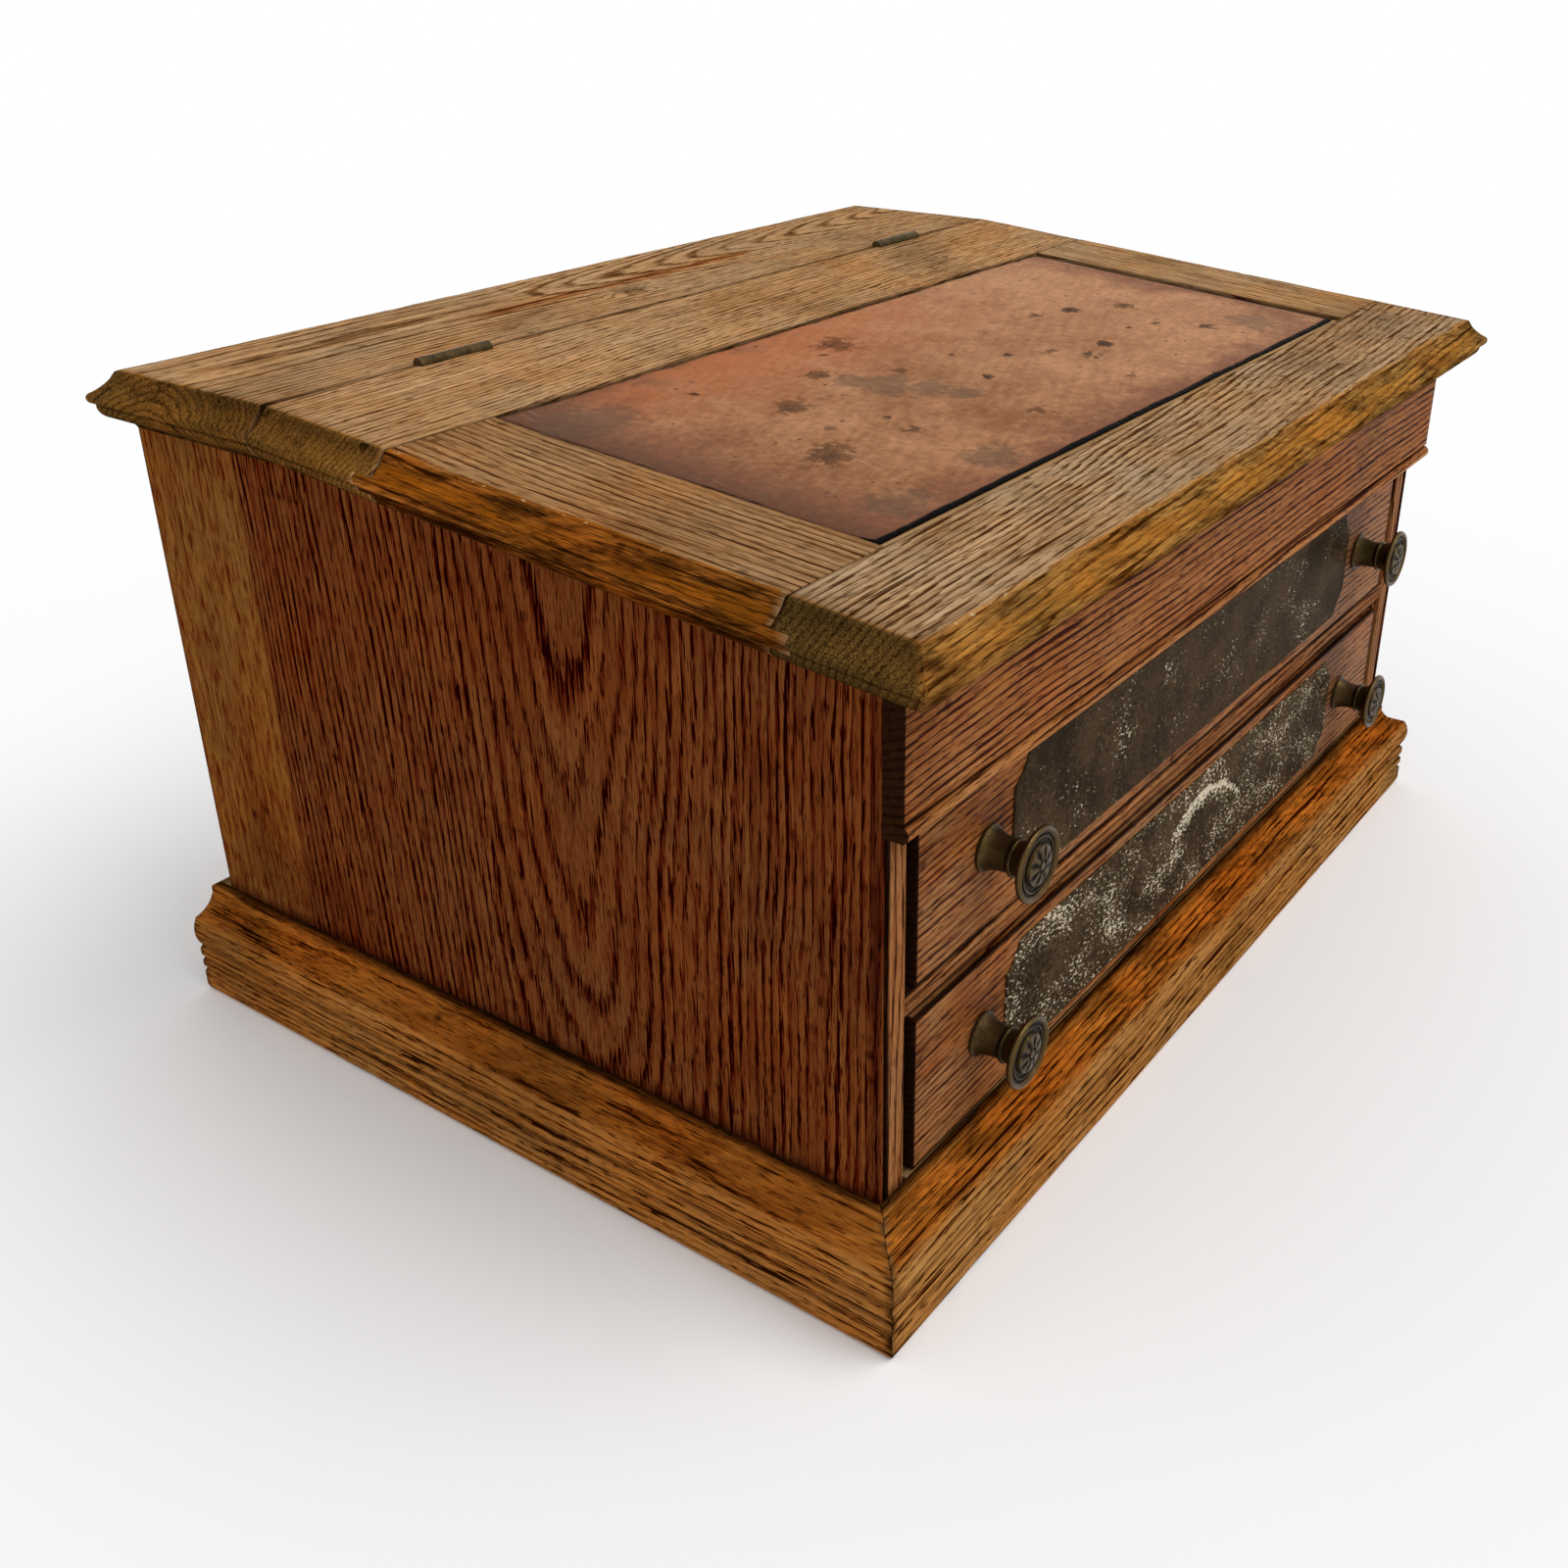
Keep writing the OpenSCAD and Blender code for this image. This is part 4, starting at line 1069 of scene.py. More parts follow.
def tongue_reach(edge: TopEdge, length: float, gap: float) -> Reach:
    """Reach of a board's jointed side: a tongue out past it, or a groove where length is negative.

    Args:
        edge: Section that holds the tongue's two depths.
        length: Length of the tongue.
        gap: Gap left at the joint.

    Returns:
        Reach as a function of the depth and of the place along the side.
    """
    def reach(depth: Array, along: Array) -> Array:
        """A small chamfer at the top, and the tongue between its two depths.

        Args:
            depth: Depth below the upper face.
            along: Place along the side.

        Returns:
            Reach past the side.
        """
        inside = (depth >= edge.tongue[0]) & (depth <= edge.tongue[1])
        flat = -np.maximum(0.3 * MM - depth, 0.0) - gap
        return np.where(inside, flat + length, flat) + 0.0 * along
    return reach


@dataclass(frozen=True)
class HingeBed:
    """Where the hinges are let into the two boards along the hinge line."""

    spacing: float = 381 * MM
    length: float = 45.6 * MM
    barrel: float = 3.5 * MM
    leaf: float = 1.9 * MM
    leaf_depth: float = 19.3 * MM
    gap: float = 0.4 * MM

    def breaks(self) -> list[float]:
        """Places along the hinge line where a bed begins or ends, doubled for a crisp step."""
        ends = [side * self.spacing / 2 + end * self.length / 2 for side in (-1, 1) for end in (-1, 1)]
        return [end + shift for end in ends for shift in (-0.02 * MM, 0.02 * MM)]

    def reach(self, slope: float) -> Reach:
        """Reach of a board's side along the hinge line.

        Args:
            slope: Lean of the board, whose side is cut upright.

        Returns:
            Reach as a function of the depth and of the place along the side.
        """
        def bed(depth: Array, along: Array) -> Array:
            """Upright cut with a round seat for the barrel and a flat one for the leaf.

            Args:
                depth: Depth below the upper face.
                along: Place along the hinge line.

            Returns:
                Reach past the hinge line.
            """
            inside = np.abs(np.abs(along) - self.spacing / 2) < self.length / 2
            seat = np.sqrt(np.maximum(self.barrel ** 2 - depth ** 2, 0.0)) - self.gap
            leaf = np.where(depth < self.leaf_depth, self.leaf, 0.0)
            cut = np.where(inside, np.maximum(seat, leaf), np.maximum(0.4 * MM - depth, 0.0))
            return -self.gap - depth * math.tan(slope) - cut
        return bed


@dataclass
class Board:
    """A flat board with an outline that changes from row to row of its edge section.

    low and high are the corners of its upper face, reach and depth the rows of its edge section with
    their marks, joints the reach of the sides that meet another board and breaks extra places along x.
    The surface wanders by waver over swells of a length and a share, drawn in by headroom to stay
    between its faces. Worn edges are knocked in by chip, where noise of a cell passes a start.
    """

    name: str
    low: Pair
    high: Pair
    reach: Array
    depth: Array
    marks: dict[str, Array]
    joints: dict[Side, Reach] = field(default_factory=dict)
    end_grain: tuple[Side, ...] = ()
    breaks: tuple[float, ...] = ()
    step: float = 4 * MM
    mitre: float = 24 * MM
    waver: float = 0.14 * MM
    headroom: float = 1.4
    swells: tuple[Pair, ...] = ((37 * MM, 1.0), (11 * MM, 0.4))
    sway: Triple = (0.5, 1.0, 1.0)
    chip: float = 1.2 * MM
    chips: tuple[Triple, ...] = ((9 * MM, 0.45, 1.0), (3 * MM, 0.35, 0.4))
    inward: Triple = (0.3, 1.0, 1.0)
    seed: int = 1

    def _places(self, low: float, high: float, breaks: Sequence[float] = ()) -> Array:
        """Even places from low to high, with extra ones at the breaks."""
        count = max(2, round((high - low) / self.step) + 1)
        return np.sort(np.concatenate([np.linspace(low, high, count), list(breaks)]))

    def _side(self, side: Side, along: Array) -> Array:
        """Reach of one side.

        Args:
            side: The side.
            along: Places along it.

        Returns:
            Reach, rows by columns.
        """
        depth = np.repeat(self.depth[:, None], len(along), axis=1)
        if side in self.joints:
            return self.joints[side](depth, np.repeat(along[None, :], len(self.depth), axis=0))
        return np.repeat(self.reach[:, None], len(along), axis=1)

    def _outline(self) -> tuple[dict[Side, Array], Array, Array]:
        """Points of each side, rows by columns by plan place.

        On each row the plan is a rectangle grown by the reach of its four sides. A side's ends are
        drawn out to the mitre with its neighbours, and the shift fades over the mitre's length.

        Returns:
            Plan points by side, and the places along x and y.
        """
        x = self._places(self.low[0], self.high[0], self.breaks)
        y = self._places(self.low[1], self.high[1])
        runs = {Side.FRONT: (0, x), Side.BACK: (0, x), Side.LEFT: (1, y), Side.RIGHT: (1, y)}
        grow = {side: self._side(side, places) for side, (_, places) in runs.items()}
        sides = {}
        for side, (axis, places) in runs.items():
            before, after = ((Side.LEFT, Side.RIGHT), (Side.FRONT, Side.BACK))[axis]
            end = 0 if side in (Side.FRONT, Side.LEFT) else -1
            first = np.clip(1 - (places - places[0]) / self.mitre, 0, 1)
            last = np.clip(1 - (places[-1] - places) / self.mitre, 0, 1)
            run = places - grow[before][:, end, None] * first + grow[after][:, end, None] * last
            fixed = (self.low, self.high)[-end][1 - axis] + (-1, 1)[-end] * grow[side]
            sides[side] = np.stack([run, fixed] if axis == 0 else [fixed, run], axis=-1)
        return sides, x, y

    def _face(self, row: int, sides: Mapping[Side, Array], x: Array, y: Array) -> Array:
        """Fill in the upper face or the underside between the four sides.

        Args:
            row: Row of the edge section that bounds it.
            sides: Plan points by side.
            x: Places along x.
            y: Places along y.

        Returns:
            Points, rows by columns.
        """
        front, back = sides[Side.FRONT][row], sides[Side.BACK][row]
        left, right = sides[Side.LEFT][row], sides[Side.RIGHT][row]
        share_y = ((y - y[0]) / (y[-1] - y[0]))[:, None]
        share_x = ((x - x[0]) / (x[-1] - x[0]))[None, :]
        across = left[:, 0, None] * (1 - share_x) + right[:, 0, None] * share_x
        fore, aft = front[None, :, 0] - across[0], back[None, :, 0] - across[-1]
        across = across + fore * (1 - share_y) + aft * share_y
        up = front[None, :, 1] * (1 - share_y) + back[None, :, 1] * share_y
        return np.dstack([across, up, np.full(up.shape, -self.depth[row])])

    def _knocked(self, band: Array, wear: Array) -> Array:
        """Knock chips out of the worn parts of the edge band.

        Args:
            band: Points of the band.
            wear: How worn each point is.

        Returns:
            The points, moved towards the board's middle.
        """
        inward = np.array([*(np.add(self.low, self.high) / 2), -self.depth.max() / 2]) - band
        inward /= np.linalg.norm(inward * self.inward, axis=-1, keepdims=True)
        knock = sum(np.maximum(lattice(band, cell, self.seed + 7 * k) - start, 0) * self.chip * share
                    for k, (cell, start, share) in enumerate(self.chips))
        return band + inward * self.inward * (knock * wear)[..., None]

    def shell(self) -> Shell:
        """Gather the edge band, the upper face and the underside.

        Returns:
            The board's surface in its own frame, worn by smooth noise and chipped along its edges.
        """
        sides, x, y = self._outline()
        round_trip = {Side.FRONT: sides[Side.FRONT][:, :-1], Side.RIGHT: sides[Side.RIGHT][:, :-1],
                      Side.BACK: sides[Side.BACK][:, :0:-1], Side.LEFT: sides[Side.LEFT][:, :0:-1]}
        plan = np.concatenate(list(round_trip.values()), axis=1)
        band = np.dstack([plan, np.repeat(-self.depth[:, None], plan.shape[1], axis=1)])
        counts = [part.shape[1] for part in round_trip.values()]
        moulded = np.repeat([float(side not in self.joints) for side in round_trip], counts)
        ends = np.repeat([float(side in self.end_grain) for side in round_trip], counts)
        marks = {name: values[:, None] * moulded[None, :] for name, values in self.marks.items()}
        marks["end"] = ends[None, :] * (self.depth > 0.2 * MM)[:, None]
        band = self._knocked(band, marks.get("wear", np.zeros(band.shape[:2])))
        made = Shell()
        made.grid(self._waver(band), wrap=True, **marks)
        for row in (0, -1):
            made.grid(self._waver(self._face(row, sides, x, y)))
        return made

    def _waver(self, points: Array) -> Array:
        """Let the surface wander a little inside the board's faces.

        Args:
            points: Points of the surface.

        Returns:
            The points, moved alike wherever they lie at one place.
        """
        moved = points.copy()
        half = self.depth.max() / 2
        moved[..., 2] -= self.headroom * self.waver * (points[..., 2] + half) / half
        for axis, share in enumerate(self.sway):
            sway = sum(lattice(points, cell, self.seed + 3 * k + axis) * part
                       for k, (cell, part) in enumerate(self.swells))
            moved[..., axis] += sway * self.waver * share
        return moved

    def build(self, slant: Slant, sloping: bool, material: Material) -> bpy.types.Object:
        """Make the piece in the cabinet's frame.

        Args:
            slant: The lid's frame.
            sloping: Whether the board lies in the lid.
            material: Its finish.

        Returns:
            The new object.
        """
        made = self.shell()
        made.points = [slant.world(part, sloping) for part in made.points]
        return made.build(self.name, material)


def wood(codes: str, **deepening: Triple) -> dict[str, object]:
    """Settings of a wood's colours.

    Args:
        codes: Colour codes of its light, dark, pore and worn parts.
        deepening: Depth and lift, where the finish has them.

    Returns:
        Settings of an oak finish.
    """
    parts = zip(("light", "dark", "pore", "worn"), codes.split())
    return {**{name: tint(code) for name, code in parts}, **deepening}


class OakPalette:
    """Colours that the finishes share."""

    top = wood("c09a70 764e28 361c08 9a7d5a", depth=(1.15, 1.2, 1.25), lift=(1.15, 1.3, 1.63))
    side = wood("8a5023 57220a 220401 6c3a16", depth=(1.12, 1.6, 1.57), lift=(0.95, 3.8, 10.0))
    front = wood("a27045 683815 2a0a03 8a5e3a", depth=(1.15, 1.25, 1.3), lift=(1.16, 1.48, 2.0))
    base = wood("b6824c 744418 2e1204 94704a", depth=(1.15, 1.2, 1.25), lift=(1.17, 1.37, 1.68))
    pine = wood("b89466 8e6a40 6a4a2a 9a8058")
    deal = wood("8f7048 684a2b 4a3018 7c6648")


OAK = OakPalette()


@dataclass
class WritingTop:
    """The fixed board and the lid's frame, moulded alike and jointed with tongues."""

    slant: Slant = field(default_factory=Slant)
    edge: TopEdge = field(default_factory=TopEdge)
    bed: HingeBed = field(default_factory=HingeBed)
    half: float = 299.8 * MM
    fixed_depth: float = 110 * MM
    length: float = 343.169 * MM
    back_rail: float = 78.5 * MM
    front_rail: float = 57 * MM
    stile: float = 60.5 * MM
    tongue: float = 9 * MM

    def _board(self, name: str, low: Pair, high: Pair,
               joints: dict[Side, Reach], seed: int, breaks: Sequence[float] = ()) -> Board:
        """One board with the top's edge section.

        Args:
            name: Name of the piece.
            low: Front left corner of its upper face.
            high: Back right corner.
            joints: Sides that aren't moulded.
            seed: Picks its wear.
            breaks: Extra places along x.

        Returns:
            The board.
        """
        reach, depth, wear, hollow = self.edge.rows()
        nick = hump(depth, 0.35 * MM, 0.5 * MM) * (reach > -2 * MM)
        marks = {"wear": wear, "hollow": hollow, "band": (depth > 0.5 * MM).astype(float), "nick": nick}
        ends = () if Side.LEFT in joints or Side.RIGHT in joints else (Side.LEFT, Side.RIGHT)
        return Board(name, low, high, reach, depth, marks, joints, ends, tuple(breaks), seed=seed)

    def boards(self) -> list[tuple[Board, bool, str, str]]:
        """The five boards.

        Returns:
            Each board with whether it slopes, its body and the node that it stands for.
        """
        groove = tongue_reach(self.edge, -self.tongue, 0.0)
        out = tongue_reach(self.edge, self.tongue, 0.3 * MM)
        beds = self.bed.breaks()
        front_y = -self.length
        rail_y = front_y + self.front_rail
        inner_x = self.half - self.stile
        fixed = self._board("worn_fixed_top", (-self.half, 0.0), (self.half, self.fixed_depth),
                            {Side.FRONT: self.bed.reach(0.0)}, 11, beds)
        back = self._board("worn_lid_back_rail", (-self.half, -self.back_rail), (self.half, 0.0),
                           {Side.FRONT: groove, Side.BACK: self.bed.reach(self.slant.angle)}, 21, beds)
        front = self._board("worn_lid_front_rail", (-self.half, front_y), (self.half, rail_y),
                            {Side.BACK: groove}, 31)
        ends = {Side.FRONT: out, Side.BACK: out}
        left = self._board("worn_lid_left_stile", (-self.half, rail_y), (-inner_x, -self.back_rail),
                           {**ends, Side.RIGHT: groove}, 41)
        right = self._board("worn_lid_right_stile", (inner_x, rail_y), (self.half, -self.back_rail),
                            {**ends, Side.LEFT: groove}, 51)
        return [(fixed, False, "cabinet", "fixed_top_board"), (back, True, "lid", "lid_back_rail"),
                (front, True, "lid", "lid_front_rail"), (left, True, "lid", "lid_left_stile"),
                (right, True, "lid", "lid_right_stile")]

    def finish_for(self, name: str) -> Material:
        """Oak for one board, with its own place in the log.

        Args:
            name: Node that the board stands for.

        Returns:
            The material.
        """
        inner_x, front_y = (self.half - self.stile) / MM, (self.front_rail - self.length) / MM
        # Darker along the board ends, the hinge line and the joints.
        ends = tuple(DirtShadeLine(0, side * self.half / MM, 9.0, 0.25) for side in (-1, 1))
        common = dict(**OAK.top, centre=self.slant.pivot(), slope=self.slant.angle, rough=0.6,
                      worn_amount=0.6, pore_cover=0.75, pore_pull=1.1)
        boards = {
            "fixed_top_board": dict(
                name="oak_fixed_top", grain=Grain.LENGTHWISE, slope=0.0, ring=3.2, wander=(7.0, 4.0),
                planks=(Plank(heart=(74, -46), drift=0.1, straight_to=-70, cast=(1.0, 0.99, 0.98)),),
                knots=(Knot(-24, 37, 6),),
                streaks=(Streak(-135, 125, 56, 8.0, tint("a05a1a"), 0.8),
                         Streak(-130, 118, 57, 3.6, tint("4a1606"), 1.0)),
                dirt_shade_lines=(DirtShadeLine(1, 0.0, 4.0, 0.75), *ends)),
            "lid_back_rail": dict(
                name="oak_lid_back", grain=Grain.LENGTHWISE, ring=3.0, early_share=0.4,
                planks=(Plank(heart=(-190, -70), lean=0.04, drift=0.05, cast=(1.04, 1.0, 0.96)),),
                dirt_shade_lines=(DirtShadeLine(1, 0.0, 3.0, 0.7), DirtShadeLine(1, -self.back_rail / MM, 2.5, 0.7), *ends)),
            "lid_front_rail": dict(
                name="oak_lid_front", grain=Grain.LENGTHWISE, ring=3.4, end_amount=0.95, dash_run=60.0,
                lit_amount=0.2, band_cast=(0.98, 0.79, 0.42), band_dark=(0.54, 0.42, 0.22),
                scuff_amount=0.3, crack_amount=0.4,
                planks=(Plank(heart=(-520, -120), lean=0.06, drift=0.015, cast=(0.92, 0.96, 1.02)),),
                dirt_shade_lines=(DirtShadeLine(1, front_y, 2.0, 0.6), *ends)),
            "lid_left_stile": dict(
                name="oak_lid_left", grain=Grain.FORE_AND_AFT, ring=4.2, edge_colour=tint("a8691f"),
                edge_amount=0.85, dash_run=45.0, scuff_amount=0.35, crack_amount=0.7,
                planks=(Plank(heart=(-470, -90), drift=0.02, cast=(0.8, 0.73, 0.66)),),
                dirt_shade_lines=(DirtShadeLine(0, -inner_x, 2.0, 0.6),)),
            "lid_right_stile": dict(
                name="oak_lid_right", grain=Grain.FORE_AND_AFT, ring=3.8,
                planks=(Plank(heart=(160, -50), drift=-0.02),), dirt_shade_lines=(DirtShadeLine(0, inner_x, 2.0, 0.6),)),
        }
        return OakFinish(**{**common, **boards[name]}).material()

    def build(self) -> None:
        """Make the boards and settle them on their bodies."""
        for board, sloping, body, node in self.boards():
            piece = board.build(self.slant, sloping, self.finish_for(node))
            settle(piece, body, node)


@dataclass
class WritingInset:
    """The leather let into the lid, close to the frame behind and gaping in front and on the right.

    It is darker within shade of its left and back edges, less so towards the right over fade, and
    within front_shade of its front and back edges.
    """

    top: WritingTop
    drop: float = 0.7 * MM
    thick: float = 1.5 * MM
    tight: float = 1.0 * MM
    gape: float = 4.2 * MM
    rim: float = 6 * MM
    shade: float = 38 * MM
    fade: float = 260 * MM
    front_shade: float = 9 * MM

    def build(self) -> None:
        """Make the leather as a thin board with rolled edges and lay it in the lid."""
        inner = self.top.half - self.top.stile
        low = (-inner + self.tight, -self.top.length + self.top.front_rail + self.gape)
        high = (inner - self.gape, -self.top.back_rail - self.tight)
        reach = np.array([-5.0, -2.8, -0.6, -0.1, 0.0, -0.1]) * MM
        depth = self.drop + np.array([0.0, 0.1, 0.35, 0.7, 1.1, self.thick / MM]) * MM
        # Painted shadow on the rolled edge, from the top row down.
        gap = {"gap": np.array([0.0, 0.6, 1.0, 1.0, 1.0, 1.0])}
        board = Board("worn_leather", low, high, reach, depth, gap, waver=0.2 * MM, chip=0.0, seed=61)
        made = board.shell()
        middle = np.add(low, high) / 2
        half = np.subtract(high, low) / 2
        band = made.points[0]
        # Full painted shadow on the open front and right sides, less where the leather meets the frame.
        open_side = (band[:, 1] < low[1] + self.rim) | (band[:, 0] > high[0] - self.rim)
        made.marks["gap"][0] = made.marks["gap"][0] * np.where(open_side, 1.0, 0.55)
        rims = []
        for part in made.points:
            edge = np.minimum(part[:, 0] - low[0], (high[1] - part[:, 1]) * 1.4)
            near = np.exp(-np.maximum(edge, 0) / self.shade)
            far = np.exp(-np.maximum(half[1] - np.abs(part[:, 1] - middle[1]), 0) / self.front_shade) * 0.5
            rims.append(np.maximum(near * np.exp(-(part[:, 0] - low[0]) / self.fade), far))
        made.marks["rim"] = rims
        slant = self.top.slant
        made.points = [slant.world(part, True) for part in made.points]
        hide = LeatherFinish(slope=slant.angle, pivot=slant.pivot())
        piece = made.build("worn_leather", hide.material(), 60)
        settle(piece, "lid", "lid_leather")


@dataclass
class Plinth:
    """The moulded base: a front length and two sides, mitred in front."""

    half: float = 292.5 * MM
    front_y: float = -206.346 * MM
    back_y: float = 237.654 * MM
    height: float = 60 * MM
    out: float = 20 * MM
    ledge: Pair = (6 * MM, 4 * MM)
    nose: Triple = (46.2 * MM, 29 * MM, 16 * MM)
    nose_out: float = 1.4 * MM
    shoulder_sag: float = 2 * MM
    grooves: tuple[float, ...] = (28.4 * MM, 20.4 * MM, 13.2 * MM)
    groove: float = 1.84 * MM
    foot: float = 2 * MM
    mitre_gap: float = 0.35 * MM
    step: float = 4 * MM
    chip: float = 0.9 * MM
    waver: float = 0.25 * MM
    shrink: float = 0.15 * MM

    def section(self) -> tuple[Array, Array, dict[str, Array]]:
        """Sample the section from the ledge down to the foot.

        The shoulder is an arc that sags below its chord, the nose an arc of a large circle, the
        grooves are V cuts, and a small chamfer ends the foot.

        Returns:
            Reach out from the carcass, height, and the marks by name.
        """
        top, low, radius = self.nose
        middle = self.out + self.nose_out - radius
        rise = np.linspace(-1, 1, 15) * (top - low) / 2
        nose = np.stack([middle + np.sqrt(radius ** 2 - rise ** 2), (top + low) / 2 - rise], axis=1)
        start = np.array([self.ledge[0], self.height - self.ledge[1]])
        share = np.linspace(0, 1, 9)[:, None]
        chord = start * (1 - share) + nose[0] * share
        sag = 4 * share * (1 - share) * self.shoulder_sag
        away = nose[0] - start
        down = np.array([away[1], -away[0]]) / np.linalg.norm(away)
        shoulder = chord + sag * down
        ledge = np.array([[0.0, self.height], [self.ledge[0] - 0.8 * MM, self.height],
                          [self.ledge[0], self.height - 0.7 * MM]])
        bands = []
        for centre in self.grooves:
            bands += [[self.out, centre + self.groove], [self.out - self.groove, centre],
                      [self.out, centre - self.groove]]
        bands = np.array(bands)[1:]
        foot = np.array([[self.out, self.foot + 1 * MM], [self.out - 0.6 * MM, self.foot * 0.5],
                         [self.out - self.foot, 0.0]])
        outline = np.concatenate([ledge, shoulder, nose[1:], bands, foot])
        reach, high = outline[:, 0], outline[:, 1]
        wear = 0.5 * hump(high, 40 * MM, 5 * MM) + 0.8 * hump(high, self.height - 0.4 * MM, 0.8 * MM)
        wear = wear + 0.8 * hump(high, 0.0, 2 * MM)
        # Hollow mark: painted shade in the grooves and in the corner against the carcass, with dirt.
        hollow = 0.6 * sum(hump(high, centre, 0.8 * MM) for centre in self.grooves)
        hollow = hollow + hump(reach, 0.0, 2.2 * MM) * (high > self.height - 1 * MM)
        band = np.clip((high - 44 * MM) / (3 * MM), 0, 1)
        marks = {"wear": np.clip(wear, 0, 1), "hollow": np.clip(hollow, 0, 1), "band": band}
        return reach - self.shrink * (reach > 8 * MM), high, marks

    def _length(self, name: str, node: str, side: int, finish: OakFinish) -> None:
        """Carry the section along one side of the base.

        Each row runs from its mitre in front to the back end, or from mitre to mitre on the front.

        Args:
            name: Name of the piece.
            node: Node that it stands for.
            side: 0 for the front, -1 for the left and 1 for the right.
            finish: Its oak.
        """
        reach, high, marks = self.section()
        reach = np.append(reach, 0.0)
        high = np.append(high, 0.0)
        marks = {key: np.append(value, 0.0) for key, value in marks.items()}
        span = 2 * self.half if side == 0 else self.back_y - self.front_y
        share = np.linspace(0, 1, round(span / self.step) + 1)[None, :]
        begin = -(reach - self.mitre_gap)[:, None]
        out, up = (np.repeat(values[:, None], share.shape[1], 1) for values in (reach, high))
        if side == 0:
            run = -self.half + begin + share * (2 * self.half - 2 * begin)
            points = np.dstack([run, self.front_y - out, up])
        else:
            run = self.front_y + begin + share * (self.back_y - self.front_y - begin)
            points = np.dstack([side * (self.half + out), run, up])
        knock = np.maximum(lattice(points, 10 * MM, 71 + side) - 0.4, 0) * self.chip * marks["wear"][:, None]
        sway = (lattice(points, 30 * MM, 81 + side) * 0.5 + 0.5) * self.waver * (reach > 2 * MM)[:, None]
        axis, sign = (1, 1) if side == 0 else (0, -side)
        points[..., axis] += sign * (knock + sway)
        made = Shell()
        closed = np.concatenate([points, points[:1]])
        spread = {key: np.repeat(np.append(value, value[0])[:, None], points.shape[1], 1)
                  for key, value in marks.items()}
        made.grid(closed, **spread)
        for end in (0, -1):
            # Painted shade on the end faces, in the mitre gap.
            made.cap(points[:, end], hollow=np.full(len(points), 0.8))
        settle(made.build(name, finish.material(), 28), "cabinet", node)

    def finishes(self) -> list[OakFinish]:
        """Oak of the front, the left and the right.

        Returns:
            The three finishes.
        """
        common = dict(**OAK.base, rough=0.55, edge_colour=tint("b87c3c"), worn_amount=0.5,
                      ring=3.4, edge_amount=0.6, ragged=0.7, pore_pull=1.2, pore_cover=0.9)
        # Darker along the ledge and at the front mitre corner: dirt, with painted shade in the joint.
        ledge = DirtShadeLine(2, self.height / MM, 2.0, 0.35)
        front = OakFinish(
            "oak_base_front", Grain.LENGTHWISE_FRONT, planks=(Plank(heart=(120, -120), drift=0.02),),
            dirt_shade_lines=(ledge, DirtShadeLine(0, -312.0, 6.0, 0.5)), band_cast=(1.12, 0.76, 0.38),
            band_dark=(0.6, 0.44, 0.24), crack_amount=0.25, scuff_amount=0.5, **common)
        left = OakFinish(
            "oak_base_left", Grain.FORE_AND_AFT_SIDE,
            planks=(Plank(heart=(120, -360), drift=0.02, cast=(0.97, 0.88, 0.78)),),
            dirt_shade_lines=(ledge, DirtShadeLine(1, -226.0, 6.0, 0.5)), fleck_amount=0.5, band_cast=(1.05, 0.88, 0.6),
            band_dark=(0.78, 0.62, 0.42), crack_amount=0.35, scuff_amount=0.2, **common)
        right = OakFinish(
            "oak_base_right", Grain.FORE_AND_AFT_SIDE, planks=(Plank(heart=(110, 380), drift=0.02),),
            dirt_shade_lines=(ledge,), **common)
        return [front, left, right]

    def build(self) -> None:
        """Make the three lengths."""
        front, left, right = self.finishes()
        self._length("worn_base_front", "base_front_moulding", 0, front)
        self._length("worn_base_left", "base_left_moulding", -1, left)
        self._length("worn_base_right", "base_right_moulding", 1, right)


def soften(node: bpy.types.Object, width: float) -> None:
    """Ease the edges of a CAD board with live modifiers.

    Args:
        node: The board's object.
        width: Width of the eased edge.
    """
    weld = node.modifiers.new("weld", "WELD")
    weld.merge_threshold = 0.002 * MM
    plane = node.modifiers.new("flatten", "DECIMATE")
    plane.decimate_type = "DISSOLVE"
    plane.angle_limit = math.radians(1.0)
    ease = node.modifiers.new("ease", "BEVEL")
    ease.width = width
    ease.segments = 2
    ease.limit_method = "ANGLE"
    ease.angle_limit = math.radians(32)
    ease.use_clamp_overlap = True
    even = node.modifiers.new("even", "WEIGHTED_NORMAL")
    even.keep_sharp = False


